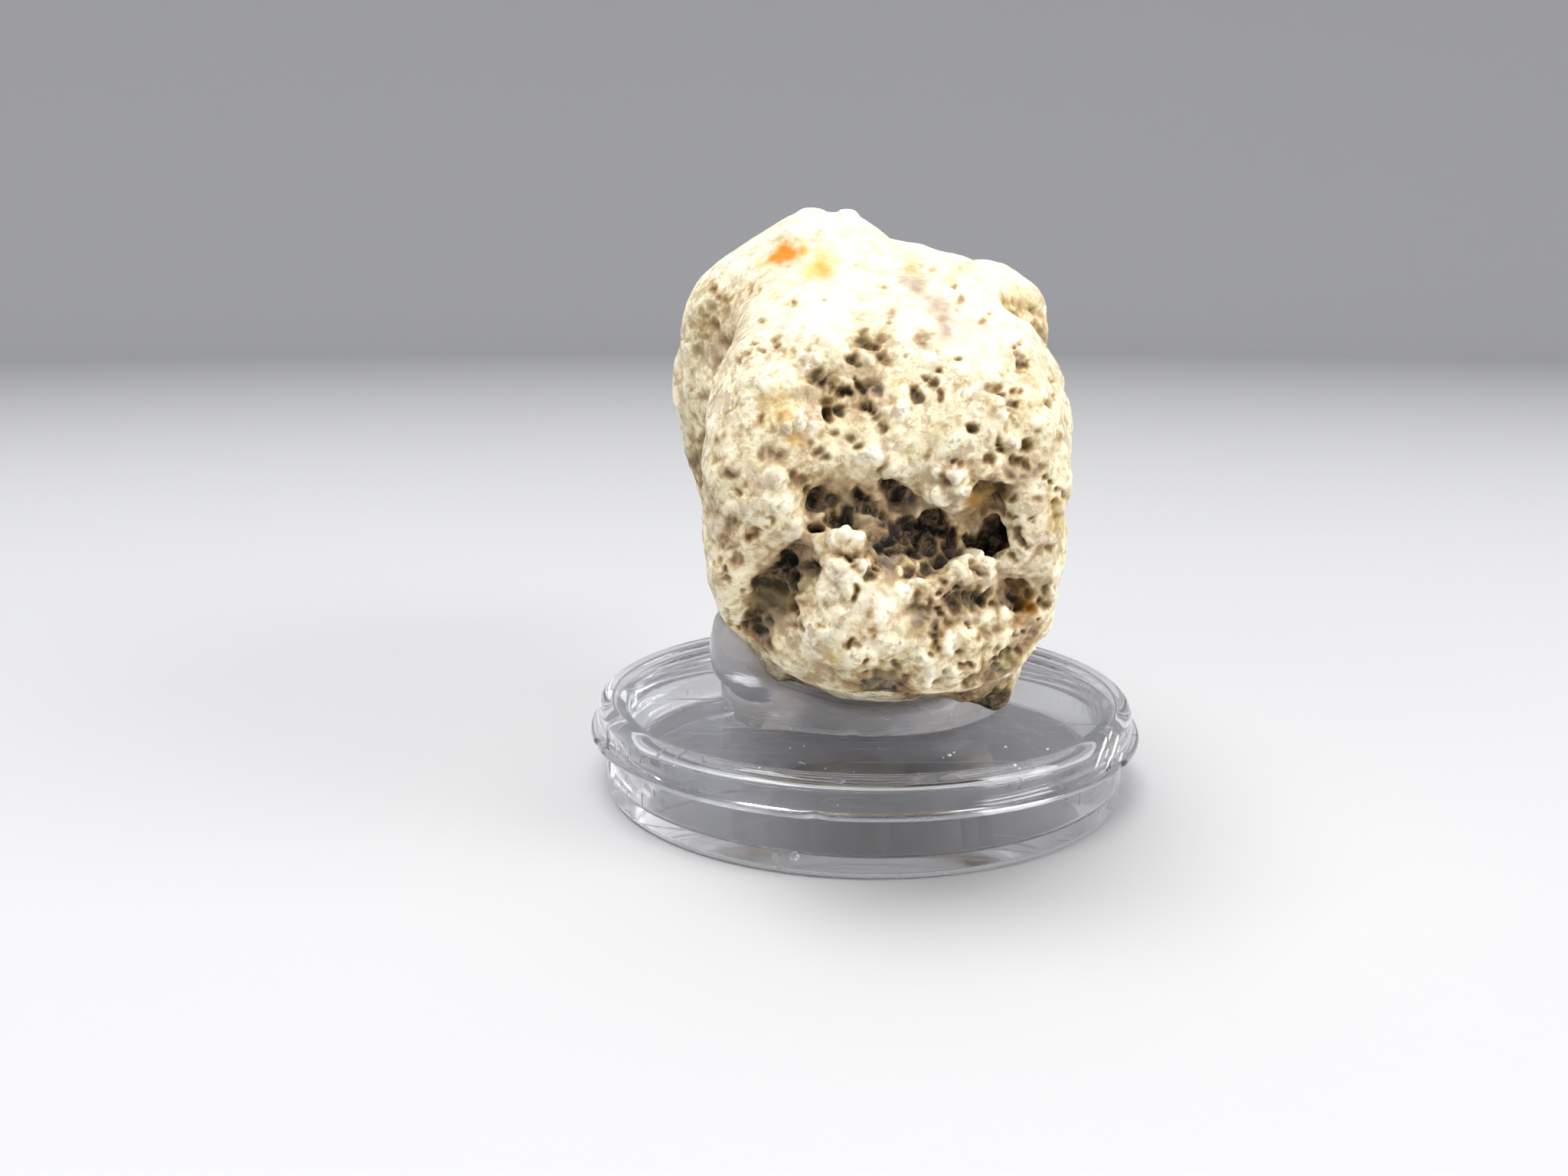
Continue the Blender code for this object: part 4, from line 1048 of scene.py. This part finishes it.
def mix(tree, factor, first, second):
    made = tree.nodes.new("ShaderNodeMix")
    made.data_type = "RGBA"
    for socket, value in ((0, factor), (6, first), (7, second)):
        if isinstance(value, bpy.types.NodeSocket):
            tree.links.new(value, made.inputs[socket])
        else:
            made.inputs[socket].default_value = (*value, 1.0)
    return made.outputs[2]


def cloud_field(tree, place, scale, detail, roughness=0.5, distortion=0.0):
    """A cloudy pattern, with values round 0.5."""
    inputs = {"Vector": place, "Scale": scale, "Detail": detail}
    inputs.update({"Roughness": roughness, "Distortion": distortion})
    return node(tree, "ShaderNodeTexNoise", inputs).outputs[0]


def drawn_out(tree, place, scale, rotation=(0.0, 0.0, 0.0)):
    """Places for a pattern that is drawn out along an axis."""
    inputs = {"Vector": place, "Rotation": rotation, "Scale": scale}
    return node(tree, "ShaderNodeMapping", inputs).outputs[0]


def uneven(tree, shader, height, strength, depth, invert=False):
    """Gives a shader a fine relief, with its depth in millimetres."""
    inputs = {"Height": height, "Strength": strength, "Distance": depth * MM}
    bump = node(tree, "ShaderNodeBump", inputs, invert=invert)
    tree.links.new(bump.outputs[0], shader.inputs["Normal"])


def new_group(name, inputs, outputs):
    """A node group with plain numbers as its inputs and outputs, and the inputs' first values."""
    group = bpy.data.node_groups.new(name, "ShaderNodeTree")
    for label, value in inputs.items():
        socket = group.interface.new_socket(label, in_out="INPUT", socket_type="NodeSocketFloat")
        socket.default_value = value
    for label in outputs:
        group.interface.new_socket(label, in_out="OUTPUT", socket_type="NodeSocketFloat")
    return group, group.nodes.new("NodeGroupInput"), group.nodes.new("NodeGroupOutput")


def group_outputs(tree, group, **values):
    """Places a node group in a material with its own values, and gives its outputs."""
    made = tree.nodes.new("ShaderNodeGroup")
    made.node_tree = group
    for label, value in values.items():
        made.inputs[label].default_value = value
    return made.outputs


def speckle_group():
    """Small irregular specks: a mask of those of a size, in millimetres."""
    group, given, put = new_group("speckle", {"Size": 0.5, "Cover": 0.4, "Softness": 0.1}, ("Mask",))
    per_metre = reckon(group, "DIVIDE", 1000.0, given.outputs["Size"])
    cloud = cloud_field(group, object_place(group), per_metre, 4.0, 0.6, 0.4)
    low = reckon(group, "SUBTRACT", 0.72, given.outputs["Cover"])
    high = reckon(group, "ADD", low, given.outputs["Softness"])
    group.links.new(ramp(group, cloud, low, high), put.inputs["Mask"])
    return group


def handling_group():
    """Handling marks on clear plastic: hairlines and smears, as a mask of each."""
    group, given, put = new_group("handling_marks", {"Smear Size": 6.0}, ("Hairlines", "Smears"))
    place = object_place(group)
    lines = []
    for turn_deg, density in ((12.0, 1900.0), (75.0, 2300.0), (138.0, 1700.0)):
        along = drawn_out(group, place, (0.015, 1.0, 0.3), (0.3, 0.1, math.radians(turn_deg)))
        lines.append(ramp(group, cloud_field(group, along, density, 1.0), 0.745, 0.76))
    both = reckon(group, "MAXIMUM", lines[0], lines[1])
    group.links.new(reckon(group, "MAXIMUM", both, lines[2]), put.inputs["Hairlines"])
    per_metre = reckon(group, "DIVIDE", 1000.0, given.outputs["Smear Size"])
    cloud = cloud_field(group, place, per_metre, 5.0, distortion=1.5)
    group.links.new(ramp(group, cloud, 0.5, 0.75), put.inputs["Smears"])
    return group


def attribute(tree, name):
    return node(tree, "ShaderNodeAttribute", attribute_name=name).outputs["Fac"]


def colour_steps(tree, factor, steps):
    made = node(tree, "ShaderNodeValToRGB", {0: factor})
    stops = made.color_ramp.elements
    for index, (place, colour) in enumerate(steps):
        stop = stops[index] if index < 2 else stops.new(place)
        stop.position = place
        stop.color = (*colour, 1.0)
    return made.outputs[0]


def bone_colour(tree, place, clouds, speckle):
    """The bone: pale to brown by its hollows, partly its own brown and partly painted shade and highlight,
    mottled, specked, and stained.
    """
    mottle = cloud_field(tree, place, 1500.0, 5.0, 0.6)
    tone = reckon(tree, "ADD", attribute(tree, "shade"), spread(tree, mottle, 0.34, 0.68, -0.16, 0.19))
    bone = colour_steps(tree, tone, BONE_COLOURS)
    bone = mix(tree, reckon(tree, "MULTIPLY", ramp(tree, clouds, 0.5, 0.7), 0.3), bone, BONE_CLOUDS)
    speckled = attribute(tree, "speckled")
    for size, cover, softness, strength, colour in BONE_SPECKS:
        mask = group_outputs(tree, speckle, Size=size, Cover=cover, Softness=softness)["Mask"]
        share = reckon(tree, "MULTIPLY", reckon(tree, "MULTIPLY", mask, strength), speckled)
        bone = mix(tree, share, bone, colour)
    for mask, _, _, colour in STAINS:
        bone = mix(tree, attribute(tree, mask), bone, colour)
    return bone


def enamel_colour(tree, place, clouds):
    """The enamel: brown, darker to its tip, with bands and cracks that run lengthwise."""
    lengthwise = drawn_out(tree, place, (1.0, 0.07, 1.0))
    bands = cloud_field(tree, lengthwise, 1100.0, 4.0)
    wavy = cloud_field(tree, lengthwise, 330.0, 3.0)
    from_line = reckon(tree, "ABSOLUTE", reckon(tree, "SUBTRACT", wavy, 0.5))
    along = node(tree, "ShaderNodeSeparateXYZ", {0: place}).outputs["Y"]
    enamel = mix(tree, ramp(tree, along, 0.008, 0.034), ENAMEL_NECK, ENAMEL_TIP)
    enamel = mix(tree, reckon(tree, "MULTIPLY", ramp(tree, bands, 0.42, 0.66), 0.45), enamel, ENAMEL_BANDS)
    enamel = mix(tree, reckon(tree, "MULTIPLY", ramp(tree, clouds, 0.5, 0.72), 0.4), enamel, ENAMEL_CLOUDS)
    return mix(tree, spread(tree, from_line, 0.001, 0.006, 0.75, 0.0), enamel, ENAMEL_CRACKS)


def fossil_material(speckle):
    material, tree, shader = new_material("fossil_bone_and_enamel")
    place = object_place(tree)
    clouds = cloud_field(tree, place, 260.0, 6.0, 0.6)
    crown = attribute(tree, "crown")
    colour = mix(tree, crown, bone_colour(tree, place, clouds, speckle), enamel_colour(tree, place, clouds))
    tree.links.new(colour, shader.inputs["Base Color"])
    tree.links.new(spread(tree, crown, 0.0, 1.0, 0.88, 0.24), shader.inputs["Roughness"])

    grain = cloud_field(tree, place, 3200.0, 6.0, 0.7)
    pricks = node(tree, "ShaderNodeTexVoronoi", {"Vector": place, "Scale": 2400.0}, feature="F1").outputs[0]
    on_bone = reckon(tree, "SUBTRACT", 1.0, reckon(tree, "MULTIPLY", crown, 0.85))
    height = reckon(tree, "MULTIPLY", reckon(tree, "ADD", grain, pricks), on_bone)
    uneven(tree, shader, height, 0.5, 0.10)
    return material


def clear_material(name, marks, tint):
    material, tree, shader = new_material(name)
    shader.inputs["Base Color"].default_value = (*tint, 1.0)
    shader.inputs["Transmission Weight"].default_value = 1.0
    shader.inputs["IOR"].default_value = 1.49
    handled = group_outputs(tree, marks)
    smeared = spread(tree, handled["Smears"], 0.0, 1.0, 0.015, 0.09)
    scratched = reckon(tree, "ADD", smeared, reckon(tree, "MULTIPLY", handled["Hairlines"], 0.35))
    tree.links.new(scratched, shader.inputs["Roughness"])
    uneven(tree, shader, handled["Hairlines"], 0.25, 0.02, invert=True)
    return material


def putty_material():
    material, tree, shader = new_material("clear_putty")
    shader.inputs["Transmission Weight"].default_value = 0.85
    shader.inputs["IOR"].default_value = 1.35
    pulled = drawn_out(tree, object_place(tree), (0.25, 0.4, 1.3), (0.5, 0.2, 0.3))
    streaks = cloud_field(tree, pulled, 1400.0, 4.0)
    colour = mix(tree, ramp(tree, streaks, 0.4, 0.7), (0.93, 0.92, 0.95), (1.0, 0.99, 1.0))
    tree.links.new(colour, shader.inputs["Base Color"])
    rough = spread(tree, streaks, 0.35, 0.7, 0.10, 0.26)
    frosted = reckon(tree, "ADD", rough, reckon(tree, "MULTIPLY", attribute(tree, "rim"), 0.45))
    tree.links.new(frosted, shader.inputs["Roughness"])
    uneven(tree, shader, streaks, 0.5, 0.15)
    return material


def crumb_material():
    material, tree, shader = new_material("pale_crumbs")
    cloud = cloud_field(tree, object_place(tree), 9000.0, 3.0)
    colour = mix(tree, ramp(tree, cloud, 0.4, 0.6), (0.88, 0.87, 0.84), (0.97, 0.97, 0.96))
    tree.links.new(colour, shader.inputs["Base Color"])
    shader.inputs["Roughness"].default_value = 0.8
    return material


def floor_material():
    material, _, shader = new_material("studio_floor")
    shader.inputs["Base Color"].default_value = (0.58, 0.58, 0.59, 1.0)
    shader.inputs["Roughness"].default_value = 0.9
    return material


def studio_floor():
    """A pale round floor that curves up into a wall on every side."""
    profile = [(0.0, -FLOOR_BELOW)]
    profile += arc((FLOOR_FLAT, FLOOR_BEND - FLOOR_BELOW), FLOOR_BEND, -90, 0, 16)
    profile += [(FLOOR_FLAT + FLOOR_BEND, WALL_HEIGHT)]
    floor = turned("studio_floor", profile[::-1], 96)
    floor.data.materials.append(floor_material())


def soft_light(name, place, size, power):
    data = bpy.data.lights.new(name, "AREA")
    data.shape = "RECTANGLE"
    data.size, data.size_y = size
    data.energy = power
    lamp = bpy.data.objects.new(name, data)
    lamp.location = place
    lamp.rotation_euler = (Vector(LIGHT_TARGET) - Vector(place)).to_track_quat("-Z", "Y").to_euler()
    bpy.context.scene.collection.objects.link(lamp)


def studio():
    world = bpy.data.worlds.new("studio")
    world.use_nodes = True
    background = world.node_tree.nodes["Background"]
    background.inputs["Color"].default_value = WORLD_COLOUR
    background.inputs["Strength"].default_value = WORLD_STRENGTH
    bpy.context.scene.world = world
    for light in LIGHTS:
        soft_light(*light)


def camera():
    data = bpy.data.cameras.new("photo_camera")
    data.sensor_width = SENSOR_MM
    data.lens = SENSOR_MM * FOCAL_PX / FRAME_PX[0]
    data.clip_start = 0.005
    placed = bpy.data.objects.new("photo_camera", data)
    placed.location = CAMERA_PLACE * MM
    placed.rotation_euler = (math.pi / 2 - CAMERA_DOWN, 0.0, 0.0)
    bpy.context.scene.collection.objects.link(placed)
    bpy.context.scene.camera = placed


def let_light_through():
    """Lets light pass all the walls of the capsule and the putty, and keeps its colours plain."""
    scene = bpy.context.scene
    scene.view_settings.view_transform = "Standard"
    scene.cycles.max_bounces = LIGHT_BOUNCES
    scene.cycles.transmission_bounces = LIGHT_BOUNCES
    scene.cycles.glossy_bounces = LIGHT_BOUNCES


def dress(piece, material, node_name=None):
    """Gives a piece its material and slot; a piece that stands for a CAD node replaces it."""
    piece.data.materials.clear()
    piece.data.materials.append(material)
    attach(piece, "root")
    if node_name:
        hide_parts(node_name)


def main():
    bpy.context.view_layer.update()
    noise.seed_set(NOISE_SEED)
    deselect()
    marks = handling_group()
    base_plastic = clear_material("clear_base_plastic", marks, (0.97, 0.975, 0.99))
    lid_plastic = clear_material("clear_lid_plastic", marks, (0.97, 0.973, 0.99))
    lid = clear_lid()
    dress(clear_base(), base_plastic, "capsule_base")
    dress(base_bead(), base_plastic)
    dress(lid_dust(surface_tree(lid)), crumb_material())
    dress(lid, lid_plastic, "capsule_lid")
    tooth = fossil_tooth()
    dress(putty_wad(surface_tree(tooth)), putty_material(), "mounting_putty")
    dress(tooth, fossil_material(speckle_group()), "mosasaur_tooth")
    studio_floor()
    studio()
    camera()
    let_light_through()
    deselect()


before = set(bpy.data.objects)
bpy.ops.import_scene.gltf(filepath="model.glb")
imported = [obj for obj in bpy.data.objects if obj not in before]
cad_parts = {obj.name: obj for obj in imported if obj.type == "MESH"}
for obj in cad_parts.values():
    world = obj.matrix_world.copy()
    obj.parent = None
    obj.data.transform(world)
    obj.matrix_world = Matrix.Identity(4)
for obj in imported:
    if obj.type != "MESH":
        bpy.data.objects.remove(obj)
main()
